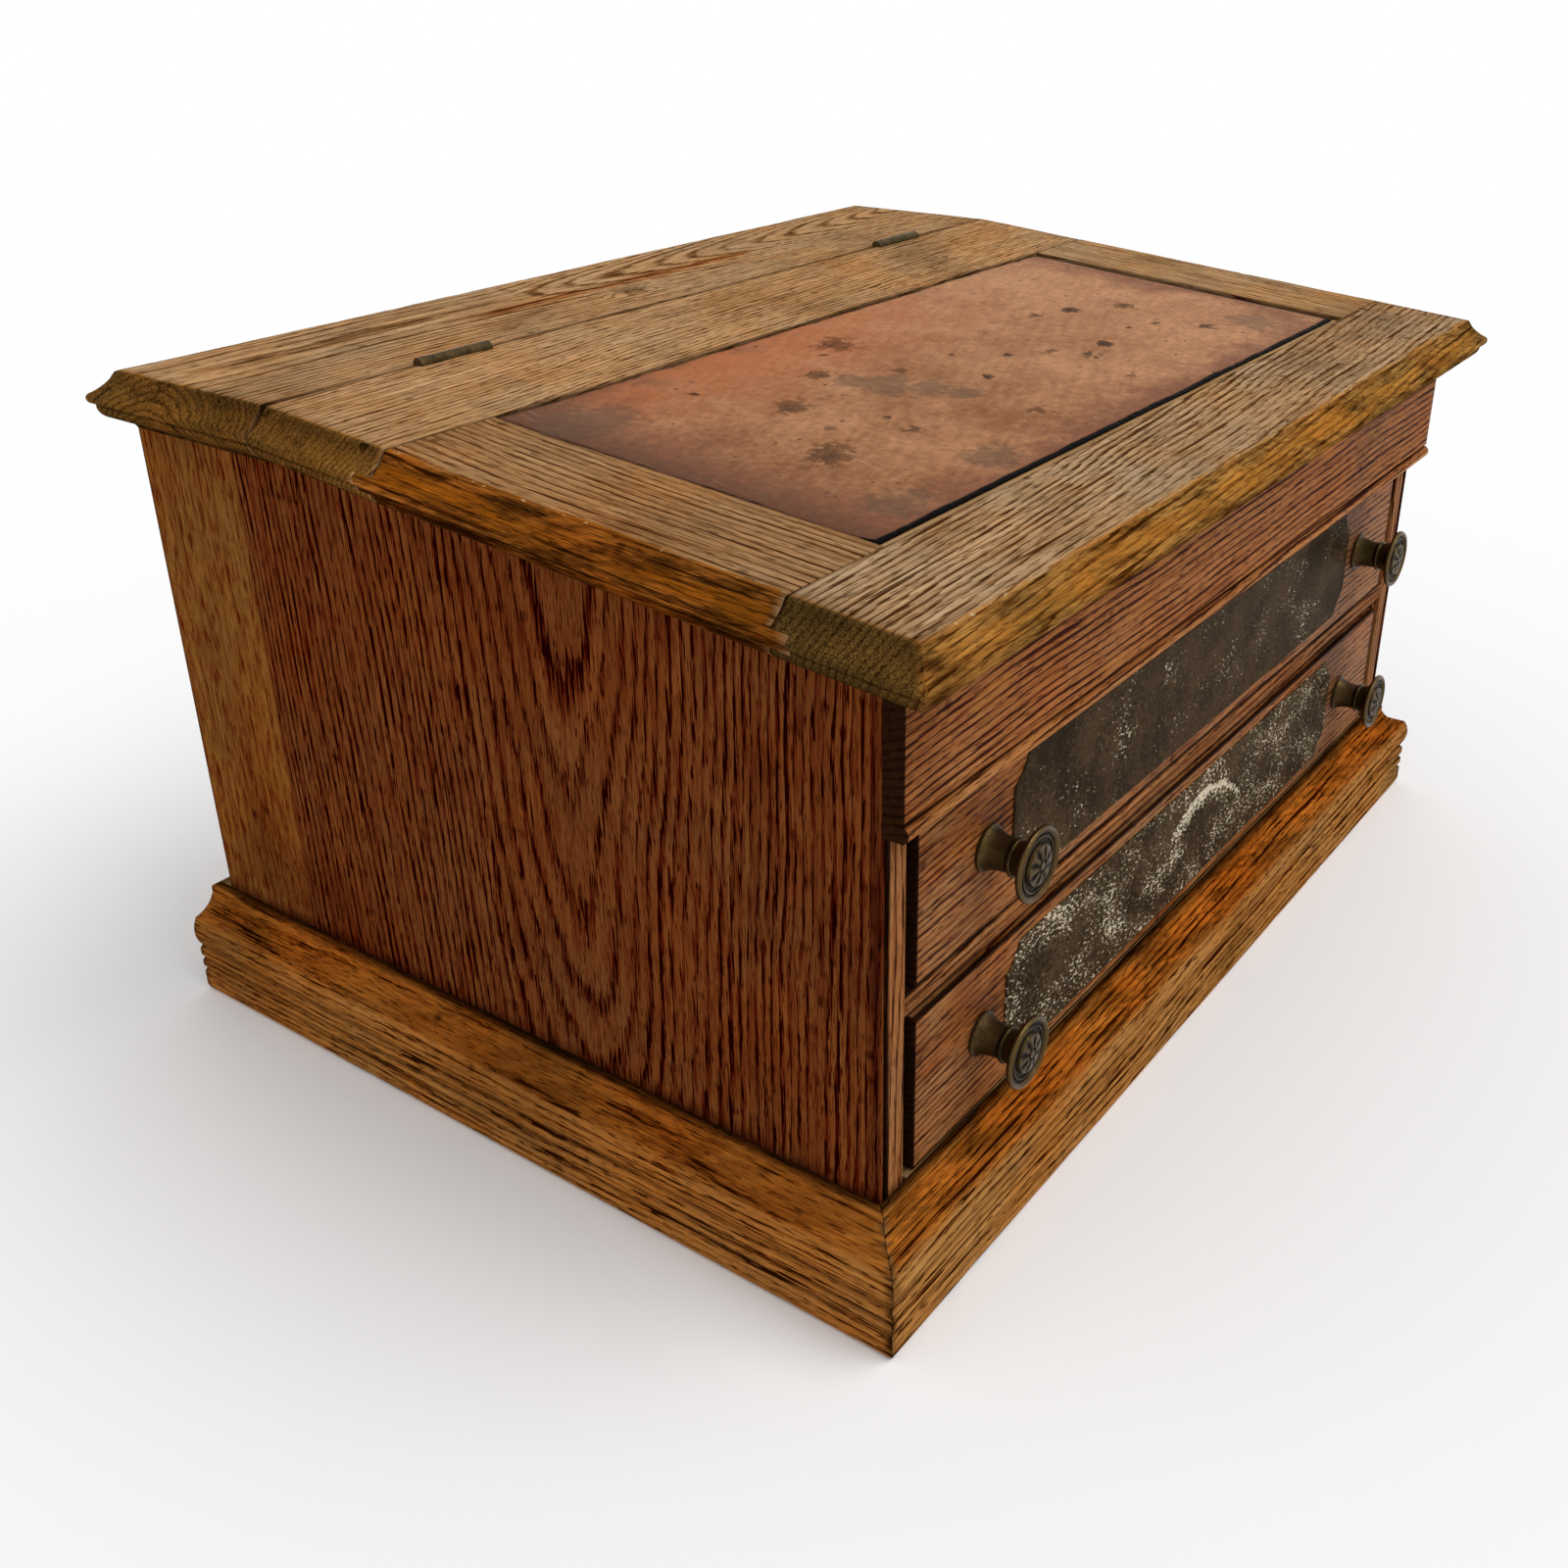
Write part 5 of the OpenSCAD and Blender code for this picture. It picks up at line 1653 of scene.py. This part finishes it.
@dataclass
class Carcass:
    """The fixed boards that stay as they were cut, with eased edges and their own oak."""

    ease: float = 0.6 * MM
    half: float = 292.5 * MM
    stile_x: float = 280 * MM
    front_y: float = -200 * MM
    frieze: Triple = (0.0, -216 * MM, 265 * MM)
    rail_z: float = 147 * MM

    def finishes(self) -> dict[str, OakFinish]:
        """Oak of each visible board.

        Returns:
            Finish by node.
        """
        side = dict(**OAK.side, rough=0.5, ring=4.3, relief=0.6, ragged=1.0, point=0.1,
                    pore_pull=1.35, smudge_amount=0.25, pore_cover=0.95, early_share=0.6, dash_run=20.0,
                    # Darker above the base, along the front by the stile and along the back: dirt, with
                    # painted shade where the boards meet.
                    dirt_shade_lines=(DirtShadeLine(2, 60.0, 9.0, 0.5), DirtShadeLine(1, -204.0, 5.0, 0.6), DirtShadeLine(1, 227.6, 3.0, 0.5)))
        left_planks = (Plank(heart=(-45, -96.5), drift=0.078),
                       Plank(start=156, heart=(420, -60), drift=0.02, cast=(1.17, 1.27, 1.09), fine=0.5,
                             calm=0.85))
        right_planks = (Plank(heart=(60, 90), drift=0.05),
                        Plank(start=110, heart=(-200, 60), cast=(1.1, 1.2, 1.2)))
        front = dict(**OAK.front, rough=0.42, gloss=0.012, relief=0.45, ring=3.8)
        # Painted shade along the gaps each side of the stile and on its inner faces, and dirt with painted
        # shade above the base.
        stile_dirt_and_shade = (DirtShadeLine(2, 60.0, 6.0, 0.5), DirtShadeLine(0, -7.9, 2.2, 1.4), DirtShadeLine(0, 7.1, 1.4, 1.2),
                      DirtShadeLine(1, 9.0, 12.0, 0.9))
        low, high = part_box("drawer_divider_rail")
        # Painted shade along the drawer gaps above and below the rail, with dirt.
        rail_dirt_and_shade = (DirtShadeLine(2, (low.z - self.rail_z) / MM, 3.2, 1.5),
                     DirtShadeLine(2, (high.z - self.rail_z) / MM, 1.8, 1.2))
        bead = (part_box("front_frieze")[0].z - self.frieze[2]) / MM
        half = self.half / MM
        finishes = {
            "front_frieze": OakFinish(
                "oak_frieze", Grain.LENGTHWISE_FRONT, centre=self.frieze, pore_pull=1.9, wander=(4.0, 3.0),
                planks=(Plank(heart=(160, 70), lean=0.01, cast=(1.06, 0.98, 0.9)),), dash_run=70.0,
                fleck_amount=0.4, fleck_size=(60.0, 14.0), edge_colour=tint("a8743c"),
                streaks=(Streak(-600, 600, bead + 3.4, 3.4, tint("b88a5a"), 0.6),),
                # Painted shade at the ends and in the crease above the bead, with dirt.
                dirt_shade_lines=(DirtShadeLine(0, -half, 1.5, 1.0), DirtShadeLine(0, half, 1.5, 1.0), DirtShadeLine(2, bead + 7.4, 1.3, 1.3)),
                **front),
            "drawer_divider_rail": OakFinish(
                "oak_divider", Grain.LENGTHWISE_FRONT, centre=(0, self.front_y, self.rail_z),
                planks=(Plank(heart=(60, 40)),), dirt_shade_lines=rail_dirt_and_shade, **front),
        }
        for hand, sign, planks in (("left", -1, left_planks), ("right", 1, right_planks)):
            finishes[f"{hand}_side_panel"] = OakFinish(
                f"oak_{hand}_side", Grain.UPRIGHT_SIDE, centre=(sign * self.half, 0, 0), planks=planks,
                **side)
            finishes[f"{hand}_front_stile"] = OakFinish(
                f"oak_{hand}_stile", Grain.UPRIGHT_FRONT, centre=(sign * self.stile_x, self.front_y, 0),
                planks=(Plank(heart=(-sign * 60, 40)),), dirt_shade_lines=stile_dirt_and_shade, **front)
        return finishes

    def build(self) -> None:
        """Dress and ease the boards."""
        for name, finish in self.finishes().items():
            dress(name, finish.material())
            soften(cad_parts[name], self.ease)


def dress(name: str, material: Material) -> None:
    """Give a CAD node one finish in place of its plain colour.

    Args:
        name: The node.
        material: Its finish.
    """
    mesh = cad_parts[name].data
    mesh.materials.clear()
    mesh.materials.append(material)


@dataclass
class KnobProfile:
    """Turned section of a cast knob, with a rosette in low relief on its face.

    foot, waist, head, fine and boss are distances from the axis, stem, collar, face and height are
    heights, and the rings' sizes, the cup and the dome are their own radii and fall.
    """

    foot: float = 10.5 * MM
    waist: float = 7.5 * MM
    stem: Pair = (1.2 * MM, 12.7 * MM)
    collar: float = 14.2 * MM
    collar_ring: float = 1.25 * MM
    cup: Pair = (7.6 * MM, 7.8 * MM)
    head: float = 16.75 * MM
    rim_ring: float = 1.5 * MM
    face: float = 23.5 * MM
    fine: float = 12.2 * MM
    fine_ring: float = 0.7 * MM
    boss: float = 9.2 * MM
    height: float = 26.2 * MM
    dome: float = 1.2 * MM
    petals: int = 8
    petal_depth: float = 0.75 * MM
    button: float = 2.5 * MM
    button_depth: float = 0.7 * MM
    columns: int = 96

    def _ring(self, radius: float, height: float, size: float, count: int) -> Array:
        """Outer half of a round ring.

        Args:
            radius: Distance of its middle from the axis.
            height: Height of its middle.
            size: Radius of the ring's own section.
            count: Number of points.

        Returns:
            Radius and height, row by row, upwards.
        """
        turn = np.linspace(-math.pi / 2, math.pi / 2, count)
        return np.stack([radius + size * np.cos(turn), height + size * np.sin(turn)], axis=1)

    def section(self) -> tuple[Array, Array]:
        """Radius and height from the foot's rim to the middle of the face.

        A trumpet stem narrows as a quarter curve to a collar ring, a cup opens to the rim, the rim is
        a half ring, and the face steps in over a fine ring to a gently domed boss.

        Returns:
            Radius and height, row by row.
        """
        turn = np.linspace(0, math.pi / 2, 14)
        foot = np.array([[self.foot - 0.3 * MM, 0.02 * MM], [self.foot, 0.35 * MM], [self.foot, 1.1 * MM]])
        begin, end = self.stem
        stem = np.stack([self.waist + (self.foot - self.waist) * (1 - np.sin(turn)) ** 1.15,
                         begin + (end - begin) * (1 - np.cos(turn)) ** 0.85], axis=1)
        collar = self._ring(self.waist, self.collar, self.collar_ring, 9)
        cup_turn = np.linspace(0.12, math.pi / 2, 12)
        rim_radius = self.head - self.rim_ring
        cup = np.stack([rim_radius - self.cup[0] * np.cos(cup_turn),
                        self.collar + self.cup[1] * np.sin(cup_turn)], axis=1)
        rim = self._ring(rim_radius, self.face, self.rim_ring, 13)
        step = np.array([[13.9, 24.0], [13.7, 23.5], [13.0, 23.5]]) * MM
        over = np.linspace(0, math.pi, 7)
        fine = np.stack([self.fine + self.fine_ring * np.cos(over),
                         self.face + self.fine_ring * np.sin(over)], axis=1)
        lip = np.array([[11.2, 23.5], [9.6, 23.5], [9.2, 24.1]]) * MM
        inward = np.linspace(0.98, 0.02, 22)
        dome = np.stack([self.boss * inward, self.height - self.dome * inward ** 2], axis=1)
        line = np.concatenate([foot, stem, collar, cup, rim, step, fine, lip, dome])
        return line[:, 0], line[:, 1]

    def shell(self, centre: Sequence[float]) -> Shell:
        """Turn the section about the knob's axis.

        The boss sinks between petals: its height falls by a share of 1 - |cos(n a / 2)| over the ring
        of petals, and a small button stands in the middle.

        Args:
            centre: Middle of the foot on the drawer front.

        Returns:
            The knob's surface.
        """
        radius, high = self.section()
        angle = np.linspace(0, 2 * math.pi, self.columns, endpoint=False)[None, :]
        r, h = radius[:, None], high[:, None]
        on_boss = (h > self.face + 0.5 * MM) & (r < self.boss)
        ring = hump(r, 5.6 * MM, 2.6 * MM) * on_boss
        petal = np.abs(np.cos(self.petals * angle / 2)) ** 0.7
        relief = -self.petal_depth * ring * (1 - petal)
        relief = relief - self.button_depth * hump(r, self.button, 0.45 * MM) * on_boss
        h = h + relief
        wide = r + 0.0 * angle
        points = np.dstack([centre[0] + wide * np.cos(angle), centre[1] - h,
                            centre[2] + wide * np.sin(angle)])
        hollow = np.clip(-relief / (0.5 * MM), 0, 1)
        hollow = hollow + hump(h, self.face + 0.1 * MM, 0.35 * MM) * (r < 14.2 * MM)
        hollow = hollow + hump(h, 12.9 * MM, 0.5 * MM)
        wear = hump(h, 24.6 * MM, 0.7 * MM) * (r > 13 * MM) + (relief > -0.1 * MM) * on_boss * 0.5
        made = Shell()
        made.grid(points, wrap=True, hollow=np.clip(hollow, 0, 1), wear=np.clip(wear, 0, 1))
        made.cap(points[0])
        made.cap(points[-1])
        return made


@dataclass
class Drawer:
    """One drawer: its front, plate, knobs and box."""

    level: str
    plate_finish: JapanFinish
    heart: Pair
    ease: float = 0.7 * MM
    half: float = 268 * MM
    front_y: float = -206.346 * MM
    knob_x: float = 215 * MM
    plate_size: Pair = (390 * MM, 64 * MM)
    plate_cut: Pair = (11 * MM, 13 * MM)
    plate_hollow: float = 1.6 * MM
    plate_thick: float = 1.0 * MM

    def _span(self) -> Pair:
        """Height of the drawer front's middle, and half its own height."""
        low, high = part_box(f"{self.level}_drawer_front")
        return (low.z + high.z) / 2, (high.z - low.z) / 2

    def _plate_outline(self) -> Array:
        """Outline of the plate: straight sides, and corners cut along shallow hollow arcs.

        Returns:
            Points of x and z round the plate.
        """
        half = np.array(self.plate_size) / 2
        share = np.linspace(0, 1, 9)[:, None]
        begin = np.array([half[0], half[1] - self.plate_cut[1]])
        end = np.array([half[0] - self.plate_cut[0], half[1]])
        bow = np.array([-1, -1]) / math.sqrt(2) * self.plate_hollow
        corner = begin * (1 - share) + end * share + 4 * share * (1 - share) * bow
        side = np.linspace(1, 0, 40)[1:-1, None] * 2 - 1
        top = np.hstack([side * end[0], np.full((len(side), 1), half[1])])
        left = corner[::-1] * [-1, 1]
        return np.concatenate([corner, top, left, corner * [-1, -1], top * [-1, -1], left * [-1, -1]])

    def _plate(self) -> None:
        """Make the thin plate: rows step in from its rim and run to a line along its middle."""
        outline = self._plate_outline()
        half = np.array(self.plate_size) / 2
        middle, _ = self._span()
        inset = np.array([0.0, 0.0, 0.12, 0.5, 1.6, 2.1, 2.8, 12.0]) * MM
        out = np.array([0.0, 0.55, 0.8, 0.9, 0.92, 0.78, 0.75, 0.75]) * self.plate_thick
        rows = []
        for step, height in zip(inset, out):
            plan = outline * (1 - step / half)
            rows.append(np.column_stack([plan[:, 0], np.full(len(plan), self.front_y - height),
                                         plan[:, 1] + middle]))
        spine = rows[-1].copy()
        spine[:, 2] = middle
        points = np.stack([*rows, spine])
        points[2:, :, 1] += lattice(points[2:], 16 * MM, 91) * 0.05 * MM
        made = Shell()
        made.grid(points, wrap=True)
        made.cap(points[0])
        node = f"{self.level}_drawer_plate"
        piece = made.build(f"japanned_{self.level}_plate", self.plate_finish.material(), 50)
        settle(piece, f"{self.level}_drawer", node)

    def build(self, brass: Material, pine: Material, steel: Material) -> None:
        """Dress the box and make the plate and the knobs.

        Args:
            brass: Finish of the knobs.
            pine: Wood of the box.
            steel: Finish of the screws.
        """
        front = f"{self.level}_drawer_front"
        middle, _ = self._span()
        dress(front, self.finish().material())
        soften(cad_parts[front], self.ease)
        for part in ("left_side", "right_side", "back", "bottom", "slats"):
            dress(f"{self.level}_drawer_{part}", pine)
        dress(f"{self.level}_knob_screws", steel)
        self._plate()
        for side, sign in (("left", -1), ("right", 1)):
            made = KnobProfile().shell((sign * self.knob_x, self.front_y, middle))
            piece = made.build(f"cast_{self.level}_{side}_knob", brass, 40)
            settle(piece, f"{self.level}_drawer", f"{self.level}_{side}_knob")

    def finish(self) -> OakFinish:
        """Oak of the drawer's front.

        Returns:
            The finish, with dirt at the knobs and painted shade along the gaps.
        """
        middle, high = self._span()
        half, high, knob_x = (size / MM for size in (self.half, high, self.knob_x))
        # Dirt from hands about the knobs; painted shade on the end faces and along the gaps above and below
        # the front.
        dirt_and_shade = (DirtShadeLine(0, -knob_x, 16.0, 0.12), DirtShadeLine(0, knob_x, 16.0, 0.12),
                DirtShadeLine(0, -half, 1.4, 2.2), DirtShadeLine(0, half, 1.4, 2.2),
                DirtShadeLine(2, high, 2.6, 1.5, 3.0), DirtShadeLine(2, -high, 2.0, 1.3, 3.0))
        smears_and_sheen = (Streak(-300, -204, 20, 9, tint("5e2a0e"), 0.55),
                  Streak(-290, -210, 8, 7, tint("9a541c"), 0.5),
                  # Painted sheen: a pale pinkish wash fading in across the right half of the front.
                  Streak(60, 700, 0, 120, tint("9c7860"), 0.5, 320.0),
                  Streak(185, 232, 6, 14, tint("4a2812"), 0.5),
                  Streak(-236, -176, 12, 16, tint("3c1a0a"), 0.5),
                  Streak(-285, -225, -18, 12, tint("a8662e"), 0.45))
        return OakFinish(
            f"oak_{self.level}_drawer_front", Grain.LENGTHWISE_FRONT, **OAK.front,
            centre=(0, self.front_y, middle), planks=(Plank(heart=self.heart, drift=0.03),),
            dirt_shade_lines=dirt_and_shade, streaks=smears_and_sheen, rough=0.38, gloss=0.02, relief=0.45, ring=3.4, smudge_amount=0.35,
            stain_amount=0.8, hue_drift=0.4)


def drawers() -> list[Drawer]:
    """The upper and the lower drawer, the lower one's plate more scuffed."""
    arc = (6.7, 45.2, 74.7)
    return [Drawer("upper", JapanFinish("upper_black_japan", bare=0.0), (140, 60)),
            Drawer("lower", JapanFinish("lower_black_japan", bare=0.3, arc=arc), (90, 40))]


@dataclass
class Innards:
    """Boards and metal that stay as they were cut, out of sight or nearly so."""

    inner: tuple[str, ...] = ("well_floor", "well_front_rail", "lid_panel")
    outer: tuple[str, ...] = ("back_panel", "bottom_board", "left_drawer_runner", "right_drawer_runner",
                              "drawer_rear_rail", "drawer_guides", "drawer_stops", "base_back_rail",
                              "base_glue_blocks")
    board_joints: Pair = (128.0, 222.0)

    def _deal(self) -> OakFinish:
        """Old deal of the back and the underside, three boards high.

        Returns:
            The finish, dark along the joints of its boards.
        """
        first, second = self.board_joints
        planks = (Plank(heart=(30, -40), drift=0.02),
                  Plank(start=first, heart=(170, -50), drift=-0.02, cast=(0.93, 0.93, 0.93)),
                  Plank(start=second, heart=(330, -60), drift=0.02, cast=(1.04, 1.02, 1.0)))
        joints = tuple(DirtShadeLine(2, place, 0.9, 1.0) for place in self.board_joints)
        back_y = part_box("back_panel")[1].y
        return OakFinish(
            "old_deal", Grain.LENGTHWISE_FRONT, **OAK.deal, centre=(0.0, back_y, 0.0), planks=planks,
            dirt_shade_lines=joints, ring=4.6, pore_cover=0.25, rough=0.75, gloss=0.02, wander=(6.0, 3.5),
            hue_drift=0.12, stain_amount=0.8, relief=0.3)

    def build(self, pine: Material, hinge: Material, steel: Material) -> None:
        """Dress the nodes.

        Args:
            pine: Wood of the boards inside the well.
            hinge: Finish of the hinges.
            steel: Finish of the screws.
        """
        deal = self._deal().material()
        for names, wood in ((self.inner, pine), (self.outer, deal)):
            for name in names:
                dress(name, wood)
        for side in ("left", "right"):
            for part in ("fixed_leaf", "lid_leaf", "pin"):
                dress(f"{side}_hinge_{part}", hinge)
        for name in ("hinge_fixed_screws", "hinge_lid_screws"):
            dress(name, steel)


@dataclass
class Studio:
    """Camera, one soft far lamp seen at its angles from the object, a white floor and surround."""

    camera_place: Triple = (-0.71998, -0.49849, 0.53552)
    azimuth: float = math.radians(-54.65)
    elevation: float = math.radians(26.463)
    roll: float = math.radians(-0.202)
    focal_px: float = 1665.58
    centre_px: Pair = (874.02, 748.54)
    frame_px: float = 1600.0
    sensor: float = 36.0
    floor_half: float = 40.0
    ambient: float = 0.68
    key_azimuth: float = math.radians(25)
    key_elevation: float = math.radians(58)
    key_strength: float = 1.3
    key_spread: float = math.radians(45)

    def _camera(self) -> None:
        """Place the camera at the photograph's viewpoint."""
        data = bpy.data.cameras.new("view")
        data.sensor_width = self.sensor
        data.lens = self.focal_px / self.frame_px * self.sensor
        data.shift_x = 0.5 - self.centre_px[0] / self.frame_px
        data.shift_y = self.centre_px[1] / self.frame_px - 0.5
        data.clip_start = 0.01
        data.clip_end = 200.0
        camera = bpy.data.objects.new("view", data)
        bpy.context.scene.collection.objects.link(camera)
        a, e = self.azimuth, self.elevation
        back = np.array([math.sin(a) * math.cos(e), -math.cos(a) * math.cos(e), math.sin(e)])
        right = np.array([math.cos(a), math.sin(a), 0.0])
        up = np.cross(back, right)
        cos, sin = math.cos(self.roll), math.sin(self.roll)
        right, up = right * cos + up * sin, up * cos - right * sin
        rows = [[right[k], up[k], back[k], self.camera_place[k]] for k in range(3)]
        camera.matrix_world = Matrix([*rows, [0, 0, 0, 1]])
        bpy.context.scene.camera = camera

    def _key(self) -> None:
        """Add the key lamp, high in front on the right."""
        data = bpy.data.lights.new("key", "SUN")
        data.energy = self.key_strength
        data.angle = self.key_spread
        lamp = bpy.data.objects.new("key", data)
        lamp.rotation_euler = (math.pi / 2 - self.key_elevation, 0, self.key_azimuth)
        bpy.context.scene.collection.objects.link(lamp)

    def _surround(self) -> None:
        """White to the eye and in reflections, and a plain level of light on the object."""
        world = bpy.data.worlds.new("surround")
        bpy.context.scene.world = world
        world.use_nodes = True
        tree = world.node_tree
        back = tree.nodes["Background"]
        path = tree.nodes.new("ShaderNodeLightPath")
        seen = path.outputs["Is Camera Ray"]
        for ray in ("Is Glossy Ray", "Is Transmission Ray"):
            either = tree.nodes.new("ShaderNodeMath")
            either.operation = "MAXIMUM"
            tree.links.new(seen, either.inputs[0])
            tree.links.new(path.outputs[ray], either.inputs[1])
            seen = either.outputs[0]
        level = tree.nodes.new("ShaderNodeMapRange")
        level.inputs["To Min"].default_value = self.ambient
        tree.links.new(seen, level.inputs["Value"])
        tree.links.new(level.outputs[0], back.inputs["Strength"])
        back.inputs["Color"].default_value = (1, 1, 1, 1)

    def _floor(self) -> None:
        """Lay a plain white floor that keeps the shadow."""
        edge = np.linspace(-self.floor_half, self.floor_half, 3)
        x, y = np.meshgrid(edge, edge)
        made = Shell()
        made.grid(np.dstack([x, y, np.full(x.shape, -0.2 * MM)]))
        white = Bench("studio_floor").finish(
            Base_Color=(0.97, 0.97, 0.97, 1), Roughness=1.0, Specular_IOR_Level=0.0)
        made.build("studio_floor", white)

    def build(self) -> None:
        """Set up the whole studio."""
        bpy.context.scene.view_settings.view_transform = "Standard"
        self._camera()
        self._surround()
        self._floor()
        self._key()


def inner_pine() -> OakFinish:
    """Pine of the drawer boxes and of the boards inside the well.

    Returns:
        The finish.
    """
    return OakFinish(
        "inner_pine", Grain.LENGTHWISE, **OAK.pine, planks=(Plank(heart=(40, -90), drift=0.02),), ring=4.2,
        pore_cover=0.25, rough=0.7, gloss=0.05, wander=(6.0, 3.5), hue_drift=0.12, stain_amount=0.6,
        relief=0.3)


def main() -> None:
    """Build and dress the sub-assemblies in order."""
    logging.basicConfig(level=logging.INFO, format="%(name)s %(message)s")
    Studio().build()
    pine = inner_pine().material()
    knob_brass = MetalFinish("aged_knob_brass", tint("564427"), tint("181008"), 0.32).material()
    hinge_brass = MetalFinish("aged_hinge_brass", tint("5c4c2c"), tint("281d0f"), 0.45).material()
    steel = MetalFinish("dull_screw_steel", tint("8e8a82"), tint("4a443c"), 0.42).material()
    top = WritingTop()
    top.build()
    WritingInset(top).build()
    Plinth().build()
    Carcass().build()
    for drawer in drawers():
        drawer.build(knob_brass, pine, steel)
    Innards().build(pine, hinge_brass, steel)


if __name__ == "__main__":
    main()
